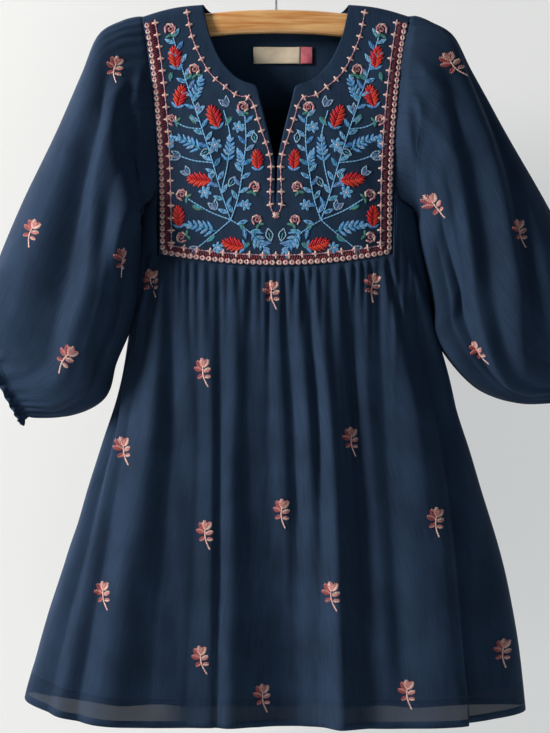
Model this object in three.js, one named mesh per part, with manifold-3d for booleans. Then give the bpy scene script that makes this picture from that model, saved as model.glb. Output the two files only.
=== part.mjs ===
// A child's peasant dress hanging on a wooden hanger. Millimetres, +Z up.
// The origin is the seat inside the top of the hook. The front faces -Y and
// +X is the wearer's left, so "right" pieces lie on the -X side.

import * as THREE from 'three';
import Module from 'manifold-3d';
import { mergeVertices } from 'three/addons/utils/BufferGeometryUtils.js';

// Cloth and seams
const CLOTH = 1.2;
const SEAM_GAP = 0.5;
const LAYER_GAP = 0.6;
const SHOULDER_GAP = 1.2;
const SIDE_GAP = 1.9;

// Front and back yoke
const NECK_HALF = 69;
const NECK_POINT_Z = -57.5;
const SHOULDER_HALF = 127;
const SHOULDER_END_Z = -69;
const SHOULDER_ROUND = 10;
const SHOULDER_BOW = 2.5;
const BACK_NECK_Z = -68;
const YOKE_HALF = 109.5;
const YOKE_BOTTOM_Z = -307;
const YOKE_CORNER_RISE = 11.5;
const BACK_YOKE_Z = -159;
const SLIT_FOOT_ROW = 2;

// Armhole: where each seam leaves the yoke's side and turns out to the underarm
const UNDERARM_HALF = 131;
const UNDERARM_Z = -250;
const FRONT_TURN_Z = -230;
const BACK_TURN_Z = -200;

// Skirt
const HEM_Z = -735;
const HEM_RISE_RIGHT = 23;
const HEM_RISE_LEFT = 10;
const GATHERS = 22;
const GATHER_RISE = 2.4;
const GATHER_REACH = 0.35;
const LINING_TOP_LAP = 5;
const LINING_ABOVE_HEM = 28;

// Hanger
const BAR_HEIGHT = 22;
const BAR_THICK = 12;
const BAR_HALF = 161;
const WIRE_RADIUS = 1.4;
const HOOK_RADIUS = 20;
const STEM_TOP_Z = -47;
const STEM_FOOT_Z = -74;

// Neck label
const LABEL = { left: -21.5, right: 23.4, tabRight: 34.6, top: -95.7, bottom: -111.4 };

// Smooth sections of the hanging dress, from the shoulder to the hem.
// right and left are half widths, front and back the depths at the middle.
const FORM = [
  { z: -50, right: 320, left: 320, front: 9, back: 9 },
  { z: -72, right: 300, left: 300, front: 9.5, back: 9.5 },
  { z: -120, right: 190, left: 190, front: 18, back: 16 },
  { z: -180, right: 146, left: 146, front: 28, back: 24 },
  { z: -230, right: 131, left: 131, front: 36, back: 30 },
  { z: -300, right: 134, left: 135, front: 42, back: 37 },
  { z: -366, right: 139, left: 146, front: 48.5, back: 43 },
  { z: -432, right: 150.5, left: 167, front: 55, back: 50.5 },
  { z: -508, right: 173, left: 191, front: 61, back: 57 },
  { z: -584, right: 199, left: 214, front: 66, back: 62 },
  { z: -660, right: 223, left: 229, front: 69, back: 65 },
  { z: -760, right: 247, left: 240, front: 72, back: 68 },
];
const ROUNDNESS = 2.8;

// Rows of the front yoke from its lower edge to the shoulder: the inner end lies on
// the middle, the slit, the notch or the neck, the outer end on the yoke's side.
const FRONT_YOKE_ROWS = [
  { innerX: 0, innerZ: -307, sideZ: -295.5 },
  { innerX: 0, innerZ: -279, sideZ: -269 },
  { innerX: 0, innerZ: -251, sideZ: -243 },
  { innerX: 0.9, innerZ: -230, sideZ: -222 },
  { innerX: 1.4, innerZ: -209, sideZ: -203 },
  { innerX: 4.2, innerZ: -193, sideZ: -187 },
  { innerX: 9.5, innerZ: -170, sideZ: -167 },
  { innerX: 15, innerZ: -149, sideZ: -149 },
  { innerX: 18.5, innerZ: -137, sideZ: -136 },
  { innerX: 31, innerZ: -132, sideZ: -126 },
  { innerX: 41, innerZ: -125, sideZ: -117 },
  { innerX: 53, innerZ: -110, sideZ: -106 },
  { innerX: 62.5, innerZ: -88, sideZ: -91 },
  { innerX: 66.5, innerZ: -72, sideZ: -80 },
  { innerX: 68.3, innerZ: -63, sideZ: -73.5 },
  { innerX: 69, innerZ: -57.5, sideZ: -69 },
];
const FRONT_YOKE_COLUMNS = [0, 0.12, 0.26, 0.42, 0.58, 0.74, 0.88, 1];

// Side of the yokes, as half widths from the corner to the shoulder.
const YOKE_SIDE = [
  { z: -60, front: 129, back: 129 },
  { z: -69, front: 127, back: 127 },
  { z: -120, front: 119, back: 119.5 },
  { z: -180, front: 113, back: 116.5 },
  { z: -230, front: 110.5, back: 116 },
  { z: -290, front: 109.5, back: 116 },
];

// Ridges of the skirt. Each runs from topX at the gathers to hemX at the hem; rise is how
// far it stands out at the hem, leftWidth and rightWidth its two slopes, start where it swells.
const FRONT_FOLDS = [
  { topX: -122, hemX: -205, rise: 9, leftWidth: 18, rightWidth: 16, start: 0.25 },
  { topX: -106, hemX: -170, rise: 17, leftWidth: 26, rightWidth: 30, start: 0.12 },
  { topX: -68, hemX: -68, rise: 17, leftWidth: 38, rightWidth: 13, start: 0.1 },
  { topX: -42, hemX: -42, rise: 15, leftWidth: 13, rightWidth: 22, start: 0.1 },
  { topX: 0, hemX: 2, rise: 5, leftWidth: 18, rightWidth: 16, start: 0.05 },
  { topX: 36, hemX: 56, rise: 18, leftWidth: 32, rightWidth: 18, start: 0.08 },
  { topX: 96, hemX: 160, rise: 18, leftWidth: 48, rightWidth: 26, start: 0.12 },
  { topX: 124, hemX: 226, rise: 6, leftWidth: 20, rightWidth: 14, start: 0.3 },
];
const BACK_FOLDS = [
  { topX: -100, hemX: -188, rise: 14, leftWidth: 22, rightWidth: 30, start: 0.2 },
  { topX: -66, hemX: -112, rise: 17, leftWidth: 26, rightWidth: 20, start: 0.1 },
  { topX: -22, hemX: -40, rise: 15, leftWidth: 20, rightWidth: 28, start: 0.12 },
  { topX: 20, hemX: 30, rise: 18, leftWidth: 26, rightWidth: 20, start: 0.08 },
  { topX: 64, hemX: 106, rise: 16, leftWidth: 24, rightWidth: 30, start: 0.15 },
  { topX: 102, hemX: 182, rise: 13, leftWidth: 28, rightWidth: 20, start: 0.2 },
];

// Rings of the right sleeve after the armhole, down to the casing and the frill's edge. The
// outer end lies on the shoulder side, the inner end under the arm; front and back are depths.
const SLEEVE_RINGS = [
  { outerX: -146, outerY: -1, outerZ: -74, innerX: -135.5, innerY: -6, innerZ: -258, front: 27, back: 23 },
  { outerX: -167, outerY: -2, outerZ: -87, innerX: -133, innerY: -20, innerZ: -274, front: 32, back: 29 },
  { outerX: -180, outerY: -3, outerZ: -122, innerX: -132, innerY: -36, innerZ: -295, front: 32, back: 33 },
  { outerX: -198, outerY: -4, outerZ: -163, innerX: -133, innerY: -48, innerZ: -320, front: 31, back: 36 },
  { outerX: -217, outerY: -5, outerZ: -205, innerX: -135, innerY: -54, innerZ: -345, front: 31, back: 38 },
  { outerX: -239, outerY: -6, outerZ: -252, innerX: -142, innerY: -51, innerZ: -370, front: 33, back: 40 },
  { outerX: -260, outerY: -7, outerZ: -299, innerX: -155, innerY: -40, innerZ: -398, front: 39, back: 40 },
  { outerX: -274, outerY: -8, outerZ: -335, innerX: -166, innerY: -22, innerZ: -428, front: 38, back: 37 },
  { outerX: -279, outerY: -8, outerZ: -353, innerX: -196, innerY: -13, innerZ: -446, front: 30, back: 29 },
  { outerX: -276, outerY: -8, outerZ: -363, innerX: -234, innerY: -9, innerZ: -447, front: 17, back: 17 },
  { outerX: -286, outerY: -8, outerZ: -367, innerX: -241, innerY: -8, innerZ: -456, front: 20, back: 20 },
];
const CASING_RING = 9;
// Long soft ridges of a sleeve: angle from the shoulder side round by the front, in degrees.
const SLEEVE_FOLDS = [
  { angle: 30, rise: 4, width: 14 },
  { angle: 62, rise: 6, width: 16 },
  { angle: 104, rise: 5, width: 16 },
  { angle: 140, rise: 4, width: 14 },
  { angle: 215, rise: 4, width: 16 },
  { angle: 262, rise: 6, width: 18 },
  { angle: 318, rise: 5, width: 18 },
];
// The left sleeve hangs further from the body than the right one.
const LEFT_SLEEVE_SPREAD = 5;

// Upper edge of the hanger bar from the middle to an end, with the bar's height there.
const BAR_SECTIONS = [
  { x: 0, top: -62, height: 22 },
  { x: 36, top: -63, height: 22 },
  { x: 68, top: -65.8, height: 22 },
  { x: 100, top: -67.6, height: 21.5 },
  { x: 127, top: -71.6, height: 21 },
  { x: 145, top: -77.4, height: 19.5 },
  { x: 156, top: -82.5, height: 16 },
  { x: 161, top: -88, height: 8 },
];

const wasm = await Module();
wasm.setup();

// Reading tables

const mix = (a, b, t) => a + (b - a) * t;

function ease(from, to, at) {
  const t = Math.min(1, Math.max(0, (at - from) / (to - from)));
  return t * t * (3 - 2 * t);
}

// Smooth reading of one column of a table along another; the rows go one way only.
function readColumn(table, along, name, at) {
  const last = table.length - 1;
  const down = table[last][along] < table[0][along];
  let i = 0;
  while (i < last - 1 && (down ? at < table[i + 1][along] : at > table[i + 1][along])) i += 1;
  const row = (k) => table[Math.min(last, Math.max(0, k))];
  const slope = (k) => {
    const before = row(k - 1);
    const after = row(k + 1);
    return (after[name] - before[name]) / (after[along] - before[along]);
  };
  const span = row(i + 1)[along] - row(i)[along];
  const t = Math.min(1, Math.max(0, (at - row(i)[along]) / span));
  const t2 = t * t;
  const t3 = t2 * t;
  const start = (2 * t3 - 3 * t2 + 1) * row(i)[name] + (t3 - 2 * t2 + t) * span * slope(i);
  return start + (3 * t2 - 2 * t3) * row(i + 1)[name] + (t3 - t2) * span * slope(i + 1);
}

// The dress's smooth form

const halfWidth = (x, z) => readColumn(FORM, 'z', x < 0 ? 'right' : 'left', z);

// Depth of the form at one place: face is 'front' or 'back', the answer is never negative.
function depthAt(face, x, z) {
  const across = Math.min(1, Math.abs(x) / halfWidth(x, z));
  return readColumn(FORM, 'z', face, z) * (1 - across ** ROUNDNESS) ** (1 / ROUNDNESS);
}

function shoulderZ(x) {
  const t = Math.max(0, Math.abs(x) - NECK_HALF) / (SHOULDER_HALF - NECK_HALF);
  return mix(NECK_POINT_Z, SHOULDER_END_Z, t) + SHOULDER_BOW * Math.sin(Math.PI * Math.min(1, t));
}

// A point of a yoke: the cloth turns over the bar just below the shoulder line.
function yokePoint(face, x, z) {
  const below = Math.min(1, Math.max(0, shoulderZ(x) - z) / SHOULDER_ROUND);
  const turn = Math.sqrt(1 - (1 - below) ** 2);
  const y = SHOULDER_GAP / 2 + depthAt(face, x, z) * turn;
  return new THREE.Vector3(x, face === 'front' ? -y : y, z);
}

const yokeLowerZ = (x) => YOKE_BOTTOM_Z + YOKE_CORNER_RISE * (x / YOKE_HALF) ** 2;

// Half width of the armhole seam at a height: the yoke's side, then out to the underarm.
function armholeHalf(face, z) {
  const turnZ = face === 'front' ? FRONT_TURN_Z : BACK_TURN_Z;
  const side = readColumn(YOKE_SIDE, 'z', face, Math.max(z, turnZ));
  const t = Math.min(1, Math.max(0, (turnZ - z) / (turnZ - UNDERARM_Z)));
  return mix(side, UNDERARM_HALF, 1 - Math.sqrt(1 - t * t));
}

// Closed walls

// Turns an open cloth surface into a closed wall of even thickness, half to each side.
function clothWall(points, faces) {
  const normals = points.map(() => new THREE.Vector3());
  const ab = new THREE.Vector3();
  const ac = new THREE.Vector3();
  for (const [a, b, c] of faces) {
    ab.subVectors(points[b], points[a]);
    ac.subVectors(points[c], points[a]);
    const area = ab.clone().cross(ac);
    for (const k of [a, b, c]) normals[k].add(area);
  }
  const count = points.length;
  const positions = [];
  for (const side of [CLOTH / 2, -CLOTH / 2]) {
    points.forEach((p, k) => {
      const moved = normals[k].clone().normalize().multiplyScalar(side).add(p);
      positions.push(moved.x, moved.y, moved.z);
    });
  }
  const index = [];
  const rim = new Map();
  for (const [a, b, c] of faces) {
    index.push(a, b, c, a + count, c + count, b + count);
    for (const [p, q] of [[a, b], [b, c], [c, a]]) {
      if (!rim.delete(`${q},${p}`)) rim.set(`${p},${q}`, [p, q]);
    }
  }
  for (const [p, q] of rim.values()) index.push(p, p + count, q + count, p, q + count, q);
  return closedGeometry(positions, index);
}

function closedGeometry(positions, index) {
  const geometry = new THREE.BufferGeometry();
  geometry.setAttribute('position', new THREE.Float32BufferAttribute(positions, 3));
  geometry.setIndex(index);
  geometry.computeVertexNormals();
  return geometry;
}

// Two triangles for each cell of a grid; indexAt gives the point at a column and a row.
function gridFaces(columns, rows, indexAt) {
  const faces = [];
  for (let r = 0; r < rows; r += 1) {
    for (let c = 0; c < columns; c += 1) {
      const [a, b] = [indexAt(c, r), indexAt(c + 1, r)];
      const [d, e] = [indexAt(c, r + 1), indexAt(c + 1, r + 1)];
      faces.push([a, b, e], [a, e, d]);
    }
  }
  return faces;
}

function wallFromGrid(columns, rows, pointAt, closed = false) {
  const across = closed ? columns : columns + 1;
  const points = [];
  for (let r = 0; r <= rows; r += 1) {
    for (let c = 0; c < across; c += 1) points.push(pointAt(c / columns, r / rows, c, r));
  }
  return clothWall(points, gridFaces(columns, rows, (c, r) => r * across + (c % across)));
}

// Yokes

function frontYoke() {
  const points = [];
  const faces = [];
  const middle = [];
  for (const side of [-1, 1]) {
    const indices = FRONT_YOKE_ROWS.map((row, r) => FRONT_YOKE_COLUMNS.map((f, c) => {
      if (side > 0 && c === 0 && r <= SLIT_FOOT_ROW) return middle[r];
      const bend = mix(2, 1, r / (FRONT_YOKE_ROWS.length - 1));
      const sideX = readColumn(YOKE_SIDE, 'z', 'front', row.sideZ);
      const x = mix(row.innerX, sideX, f);
      const bow = SHOULDER_BOW * Math.sin(Math.PI * f) * ease(-110, -70, row.sideZ);
      const z = mix(row.innerZ, row.sideZ, f ** bend) + bow;
      points.push(yokePoint('front', side * x, z));
      if (c === 0) middle[r] = points.length - 1;
      return points.length - 1;
    }));
    const grid = gridFaces(FRONT_YOKE_COLUMNS.length - 1, FRONT_YOKE_ROWS.length - 1,
      (c, r) => indices[r][c]);
    for (const [a, b, c] of grid) faces.push(side > 0 ? [a, b, c] : [a, c, b]);
  }
  return clothWall(points, faces);
}

function backYoke() {
  const stops = [0, 0.19, 0.38, NECK_HALF / SHOULDER_HALF, 0.69, 0.85, 1];
  const fractions = [...stops.slice(1).reverse().map((f) => -f), ...stops];
  const heights = [0, 0.3, 0.55, 0.75, 0.88, 0.95, 1];
  return wallFromGrid(fractions.length - 1, heights.length - 1, (u, v, c, r) => {
    const f = fractions[fractions.length - 1 - c];
    const topX = SHOULDER_HALF * f;
    const inNeck = Math.min(1, Math.abs(topX) / NECK_HALF);
    const neckZ = mix(BACK_NECK_Z, NECK_POINT_Z, inNeck ** 8);
    const topZ = inNeck < 1 ? neckZ : shoulderZ(topX);
    const z = mix(BACK_YOKE_Z, topZ, heights[r]);
    const reach = mix(BACK_YOKE_Z, SHOULDER_END_Z, heights[r]);
    const x = readColumn(YOKE_SIDE, 'z', 'back', reach) * f;
    return yokePoint('back', x, z);
  });
}

// Skirt panels and their lining

function hemZ(x) {
  const out = Math.min(1, Math.abs(x) / halfWidth(x, HEM_Z));
  return HEM_Z + (x < 0 ? HEM_RISE_RIGHT : HEM_RISE_LEFT) * out ** 5;
}

// How far the folds lift the cloth off the smooth form; down runs from 0 at the top to 1.
function foldRise(folds, x, down) {
  let rise = 0;
  for (const fold of folds) {
    const crest = mix(fold.topX, fold.hemX, down ** 0.9);
    const full = x < crest ? fold.leftWidth : fold.rightWidth;
    const width = full * mix(0.6, 1, down);
    const swell = ease(fold.start - 0.1, fold.start + 0.6, down);
    rise += fold.rise * swell * Math.exp(-(((x - crest) / width) ** 2));
  }
  return rise;
}

// Columns of a skirt panel: its share across the hem, and the place of its upper end.
function panelTop(face, u) {
  const side = u < 0.5 ? -1 : 1;
  const out = Math.abs(u - 0.5) * 2;
  const corner = face === 'front' ? 0.6 : 0.66;
  if (out <= corner) {
    const backHalf = readColumn(YOKE_SIDE, 'z', 'back', BACK_YOKE_Z) - SEAM_GAP;
    const x = side * (face === 'front' ? YOKE_HALF + SIDE_GAP : backHalf) * (out / corner);
    return { x, z: (face === 'front' ? yokeLowerZ(x) : BACK_YOKE_Z) - SEAM_GAP };
  }
  const turn = (out - corner) / (1 - corner);
  const turnZ = face === 'front' ? FRONT_TURN_Z : BACK_YOKE_Z;
  const z = mix(turnZ - 2, UNDERARM_Z, turn);
  const clear = (face === 'front' ? SIDE_GAP : -SEAM_GAP) * (1 - turn);
  return { x: side * (armholeHalf(face, z) + clear), z: z - SEAM_GAP * (1 + 2.5 * turn) };
}

function skirtPoint(face, u, v) {
  const sign = face === 'front' ? -1 : 1;
  const top = panelTop(face, u);
  const hemAngle = Math.PI * u;
  const topAcross = Math.min(1, Math.max(-1, top.x / halfWidth(top.x, top.z)));
  const curve = 2 / ROUNDNESS;
  const angleOf = (across) => Math.acos(-Math.sign(across) * Math.abs(across) ** (1 / curve));
  const spread = ease(0, 0.9, v ** 0.8);
  const angle = mix(angleOf(topAcross), hemAngle, spread);
  const cosine = -Math.cos(angle);
  const across = Math.sign(cosine) * Math.abs(cosine) ** curve;
  const deep = Math.max(0, Math.sin(angle)) ** curve;
  const hem = hemZ(across * halfWidth(across, HEM_Z));
  const z = mix(top.z, hem, v);
  const x = across * halfWidth(across, z);
  const folds = face === 'front' ? FRONT_FOLDS : BACK_FOLDS;
  const ripple = (1 - Math.cos(2 * Math.PI * GATHERS * u)) / 2;
  const gather = GATHER_RISE * ripple * (1 - ease(0, GATHER_REACH, v));
  const rise = (foldRise(folds, x, v) + gather) * deep ** 0.5;
  const y = SEAM_GAP + readColumn(FORM, 'z', face, z) * deep + rise;
  return new THREE.Vector3(x, sign * y, z);
}

function skirtPanel(face) {
  const columns = 2 * GATHERS;
  return wallFromGrid(columns, 10, (u, v) => {
    const across = face === 'front' ? u : 1 - u;
    return skirtPoint(face, across, 1 - v ** 1.2);
  });
}

function liningPanel(face) {
  const sign = face === 'front' ? -1 : 1;
  return wallFromGrid(20, 7, (u, v) => {
    const angle = Math.PI * (face === 'front' ? u : 1 - u);
    const down = 1 - v;
    const top = (face === 'front' ? YOKE_BOTTOM_Z : BACK_YOKE_Z) + LINING_TOP_LAP;
    const across = -Math.cos(angle);
    const deep = Math.sin(angle);
    const z = mix(top, HEM_Z + LINING_ABOVE_HEM + HEM_RISE_LEFT * Math.abs(across) ** 7, down);
    const inside = mix(CLOTH + LAYER_GAP, 4.5, ease(0, 0.4, down));
    const reach = mix(halfWidth(across, z) * 0.8, halfWidth(across, z) - 10, ease(0, 0.3, down));
    const x = across * reach;
    const y = (depthAt(face, x, z) - inside) * deep ** 0.12 + SEAM_GAP / 2;
    return new THREE.Vector3(x, sign * Math.max(SEAM_GAP / 2, y), z);
  });
}

// Sleeves

function armholePoint(angle) {
  const face = angle < Math.PI ? 'front' : 'back';
  const middle = (SHOULDER_END_Z + UNDERARM_Z) / 2;
  const z = middle + ((SHOULDER_END_Z - UNDERARM_Z) / 2) * Math.cos(angle);
  const low = (1 - Math.cos(angle)) / 2;
  const x = -(armholeHalf(face, z) + SEAM_GAP * (1.6 + 3 * low ** 6));
  const y = yokePoint(face, x, z).y;
  return new THREE.Vector3(x, y - Math.sign(y) * (SHOULDER_GAP / 2), z + SEAM_GAP * (1 + 2 * low));
}

function ringPoint(ring, angle) {
  const towardOuter = Math.cos(angle);
  const towardFront = Math.sin(angle);
  const round = 2 / 2.3;
  const along = Math.sign(towardOuter) * Math.abs(towardOuter) ** round;
  const deep = Math.sign(towardFront) * Math.abs(towardFront) ** round;
  return new THREE.Vector3(
    mix(ring.innerX, ring.outerX, (1 + along) / 2),
    mix(ring.innerY, ring.outerY, (1 + along) / 2) - deep * (towardFront > 0 ? ring.front : ring.back),
    mix(ring.innerZ, ring.outerZ, (1 + along) / 2),
  );
}

function sleeveFoldRise(angle) {
  const degrees = THREE.MathUtils.radToDeg(angle);
  let rise = 0;
  for (const fold of SLEEVE_FOLDS) {
    const off = (degrees - fold.angle) / fold.width;
    rise += fold.rise * Math.exp(-(off ** 2));
  }
  return rise;
}

function sleevePoint(angle, k, side) {
  if (k === 0) {
    const seam = armholePoint(angle);
    return new THREE.Vector3(-side * seam.x, seam.y, seam.z);
  }
  const ring = SLEEVE_RINGS[k - 1];
  const point = ringPoint(ring, angle);
  const fullness = ease(0, 4, k) * ease(CASING_RING + 1, CASING_RING - 2, k);
  point.y -= Math.sin(angle) * sleeveFoldRise(angle) * fullness;
  if (k > CASING_RING + 1) point.y -= 2.5 * Math.cos(angle * 11);
  if (side > 0) {
    const spread = mix(ease(6, 8.5, k), ease(0, 3.5, k), (1 + Math.cos(angle)) / 2);
    const turn = THREE.MathUtils.degToRad(LEFT_SLEEVE_SPREAD) * spread;
    const pivot = new THREE.Vector3(SLEEVE_RINGS[1].outerX, 0, SLEEVE_RINGS[1].outerZ);
    point.sub(pivot).applyAxisAngle(new THREE.Vector3(0, 1, 0), turn).add(pivot);
    point.x = -point.x;
  }
  return point;
}

function sleeve(side) {
  return wallFromGrid(26, SLEEVE_RINGS.length, (u, v, c, r) => {
    const angle = 2 * Math.PI * (side < 0 ? u : 1 - u);
    return sleevePoint(angle, r, side);
  }, true);
}

// Neck label

function labelStrip(fromX, toX) {
  return wallFromGrid(4, 2, (u, v) => {
    const x = mix(fromX, toX, u);
    const z = mix(LABEL.bottom, LABEL.top, v);
    const point = yokePoint('back', x, z);
    point.y -= CLOTH + SEAM_GAP;
    return point;
  });
}

// Hanger

function hangerBar() {
  const corners = 16;
  const ends = 40;
  const positions = [];
  for (let i = 0; i <= ends; i += 1) {
    const x = -BAR_HALF * Math.cos((Math.PI * i) / ends);
    const top = readColumn(BAR_SECTIONS, 'x', 'top', Math.abs(x));
    const height = readColumn(BAR_SECTIONS, 'x', 'height', Math.abs(x));
    const thick = BAR_THICK * Math.min(1, Math.sqrt(height / BAR_HEIGHT));
    for (let c = 0; c < corners; c += 1) {
      const angle = (2 * Math.PI * (c + 0.5)) / corners;
      const round = (value) => Math.sign(value) * Math.abs(value) ** 0.55;
      const y = (thick / 2) * round(Math.cos(angle));
      const z = top - (height / 2) * (1 - round(Math.sin(angle)));
      positions.push(x, y, z);
    }
  }
  const index = [];
  const sides = gridFaces(corners, ends, (c, r) => r * corners + (c % corners));
  for (const [a, b, c] of sides) index.push(a, b, c);
  for (let c = 1; c < corners - 1; c += 1) {
    index.push(0, c + 1, c);
    const last = ends * corners;
    index.push(last, last + c, last + c + 1);
  }
  return closedGeometry(positions, index);
}

function wirePath() {
  const points = [];
  for (const share of [0, 0.3, 0.6, 0.82, 1]) {
    points.push(new THREE.Vector3(0, 0, mix(STEM_FOOT_Z, STEM_TOP_Z, share)));
  }
  const centreZ = WIRE_RADIUS - HOOK_RADIUS;
  for (let degrees = -48; degrees <= 196; degrees += 12) {
    const angle = THREE.MathUtils.degToRad(degrees);
    const x = HOOK_RADIUS * Math.cos(angle);
    points.push(new THREE.Vector3(x, 0, centreZ + HOOK_RADIUS * Math.sin(angle)));
  }
  return new THREE.CatmullRomCurve3(points, false, 'centripetal');
}

function hookWire() {
  const section = new THREE.Shape();
  section.absarc(0, 0, WIRE_RADIUS, 0, 2 * Math.PI, false);
  return new THREE.ExtrudeGeometry(section, { steps: 56, curveSegments: 5, extrudePath: wirePath() });
}

function solidOf(geometry) {
  const bare = geometry.clone();
  bare.deleteAttribute('normal');
  bare.deleteAttribute('uv');
  const merged = mergeVertices(bare, 1e-4);
  const vertProperties = new Float32Array(merged.attributes.position.array);
  const triVerts = new Uint32Array(merged.index.array);
  return new wasm.Manifold(new wasm.Mesh({ numProp: 3, vertProperties, triVerts }));
}

// The bar with the blind hole that takes the hook's stem.
function drilledBar() {
  const depth = 14;
  const drill = new THREE.CylinderGeometry(WIRE_RADIUS + 0.3, WIRE_RADIUS + 0.3, depth + 10, 24);
  drill.rotateX(Math.PI / 2);
  drill.translate(0, 0, BAR_SECTIONS[0].top - depth + (depth + 10) / 2);
  const mesh = solidOf(hangerBar()).subtract(solidOf(drill)).getMesh();
  return closedGeometry([...mesh.vertProperties], [...mesh.triVerts]);
}

// Materials and assembly

const colours = {
  navy: { color: '#2c3756', roughness: 0.85, metalness: 0 },
  lining: { color: '#1d2540', roughness: 0.85, metalness: 0 },
  label: { color: '#cfc3a2', roughness: 0.8, metalness: 0 },
  tab: { color: '#c23c52', roughness: 0.8, metalness: 0 },
  wood: { color: '#d3a468', roughness: 0.45, metalness: 0 },
  steel: { color: '#b9bbbd', roughness: 0.3, metalness: 1 },
};

const dress = new THREE.Group();

function add(name, colour, geometry) {
  const mesh = new THREE.Mesh(geometry, new THREE.MeshStandardMaterial(colours[colour]));
  mesh.name = name;
  dress.add(mesh);
}

add('front_yoke', 'navy', frontYoke());
add('back_yoke', 'navy', backYoke());
add('front_skirt', 'navy', skirtPanel('front'));
add('back_skirt', 'navy', skirtPanel('back'));
add('sleeve_right', 'navy', sleeve(-1));
add('sleeve_left', 'navy', sleeve(1));
add('lining_front', 'lining', liningPanel('front'));
add('lining_back', 'lining', liningPanel('back'));
add('neck_label', 'label', labelStrip(LABEL.left, LABEL.right));
add('label_tab', 'tab', labelStrip(LABEL.right + SEAM_GAP, LABEL.tabRight));
add('hanger_bar', 'wood', drilledBar());
add('hanger_hook', 'steel', hookWire());

export default dress;
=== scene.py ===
import math

import bmesh
import bpy
import numpy as np
from mathutils import Matrix, Vector


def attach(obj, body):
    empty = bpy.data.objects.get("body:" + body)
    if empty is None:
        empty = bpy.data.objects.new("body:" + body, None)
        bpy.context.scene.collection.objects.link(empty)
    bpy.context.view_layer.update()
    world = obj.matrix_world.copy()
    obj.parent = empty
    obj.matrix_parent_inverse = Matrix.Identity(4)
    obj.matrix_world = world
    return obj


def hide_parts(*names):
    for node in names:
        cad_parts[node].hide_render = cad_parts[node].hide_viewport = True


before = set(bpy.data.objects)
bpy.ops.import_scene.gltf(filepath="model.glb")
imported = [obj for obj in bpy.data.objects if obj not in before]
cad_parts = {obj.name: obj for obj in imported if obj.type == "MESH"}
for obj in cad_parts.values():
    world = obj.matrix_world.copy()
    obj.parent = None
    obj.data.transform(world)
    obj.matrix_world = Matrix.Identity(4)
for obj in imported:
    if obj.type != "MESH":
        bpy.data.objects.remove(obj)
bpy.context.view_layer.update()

# Sizes are millimetres in the dress's own frame: the front faces -Y, +X is the wearer's left
# and the origin is the seat inside the hanger's hook. MM turns them to metres.
MM = 0.001


# Reading tables

def table(columns, *rows):
    return {name: np.array([row[k] for row in rows], float) for k, name in enumerate(columns.split())}


def mix(a, b, t):
    return a + (b - a) * t


def ease(start, end, at):
    t = np.clip((at - start) / (end - start), 0, 1)
    return t * t * (3 - 2 * t)


def cubic(t, start, start_slope, end, end_slope):
    """Soft curve from one value to the next, as t goes from 0 to 1."""
    leaving = (2 * t**3 - 3 * t**2 + 1) * start + (t**3 - 2 * t**2 + t) * start_slope
    return leaving + (3 * t**2 - 2 * t**3) * end + (t**3 - t**2) * end_slope


def smooth(knots, values, at):
    """Smooth curve through a few values, read at any places along it."""
    knots = np.asarray(knots, float)
    values = np.asarray(values, float)
    if knots[0] > knots[-1]:
        knots, values = knots[::-1], values[::-1]
    slopes = np.gradient(values)
    slopes[1:-1] = (values[2:] - values[:-2]) / (knots[2:] - knots[:-2])
    slopes[0] = (values[1] - values[0]) / (knots[1] - knots[0])
    slopes[-1] = (values[-1] - values[-2]) / (knots[-1] - knots[-2])
    at = np.clip(at, knots[0], knots[-1])
    i = np.clip(np.searchsorted(knots, at, side="right") - 1, 0, len(knots) - 2)
    span = knots[i + 1] - knots[i]
    t = (at - knots[i]) / span
    return cubic(t, values[i], span * slopes[i], values[i + 1], span * slopes[i + 1])


def read(rows, along, name, at):
    return smooth(rows[along], rows[name], at)


# The dress's form, the same as its solids but with closed seams

CLOTH = 0.8
SEAM_GAP = 0.5
SHOULDER_GAP = 0.2
SIDE_GAP = 1.9
NECK_HALF = 69
NECK_POINT_Z = -57.5
SHOULDER_HALF = 127
SHOULDER_END_Z = -69
SHOULDER_ROUND = 10
SHOULDER_BOW = 2.5
BACK_NECK_Z = -68
YOKE_HALF = 109.5
YOKE_BOTTOM_Z = -307
YOKE_CORNER_RISE = 11.5
BACK_YOKE_Z = -159
SLIT_FOOT_ROW = 2
UNDERARM_HALF = 131
UNDERARM_Z = -250
ARMHOLE_TURN_Z = {"front": -230, "back": -200}
HEM_Z = -735
HEM_RISE_RIGHT = 23
HEM_RISE_LEFT = 10
LINING_TOP_LAP = 5
LINING_ABOVE_HEM = 28
ROUNDNESS = 2.8
OUTWARD = {"front": np.array([0, -1.0, 0]), "back": np.array([0, 1.0, 0])}

# Half widths to each side, and depths of the front and back at the middle.
FORM = table(
    "z right left front back",
    (-50, 320, 320, 9, 9),
    (-72, 300, 300, 9.5, 9.5),
    (-120, 190, 190, 18, 16),
    (-180, 146, 146, 28, 24),
    (-230, 131, 131, 36, 30),
    (-300, 134, 135, 42, 37),
    (-366, 139, 146, 48.5, 43),
    (-432, 150.5, 167, 55, 50.5),
    (-508, 173, 191, 61, 57),
    (-584, 199, 214, 66, 62),
    (-660, 223, 229, 69, 65),
    (-760, 247, 240, 72, 68),
)

# Side of the yokes, as half widths.
YOKE_SIDE = table(
    "z front back",
    (-60, 129, 129),
    (-69, 127, 127),
    (-120, 119, 119.5),
    (-180, 113, 116.5),
    (-230, 110.5, 116),
    (-290, 109.5, 116),
)

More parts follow.
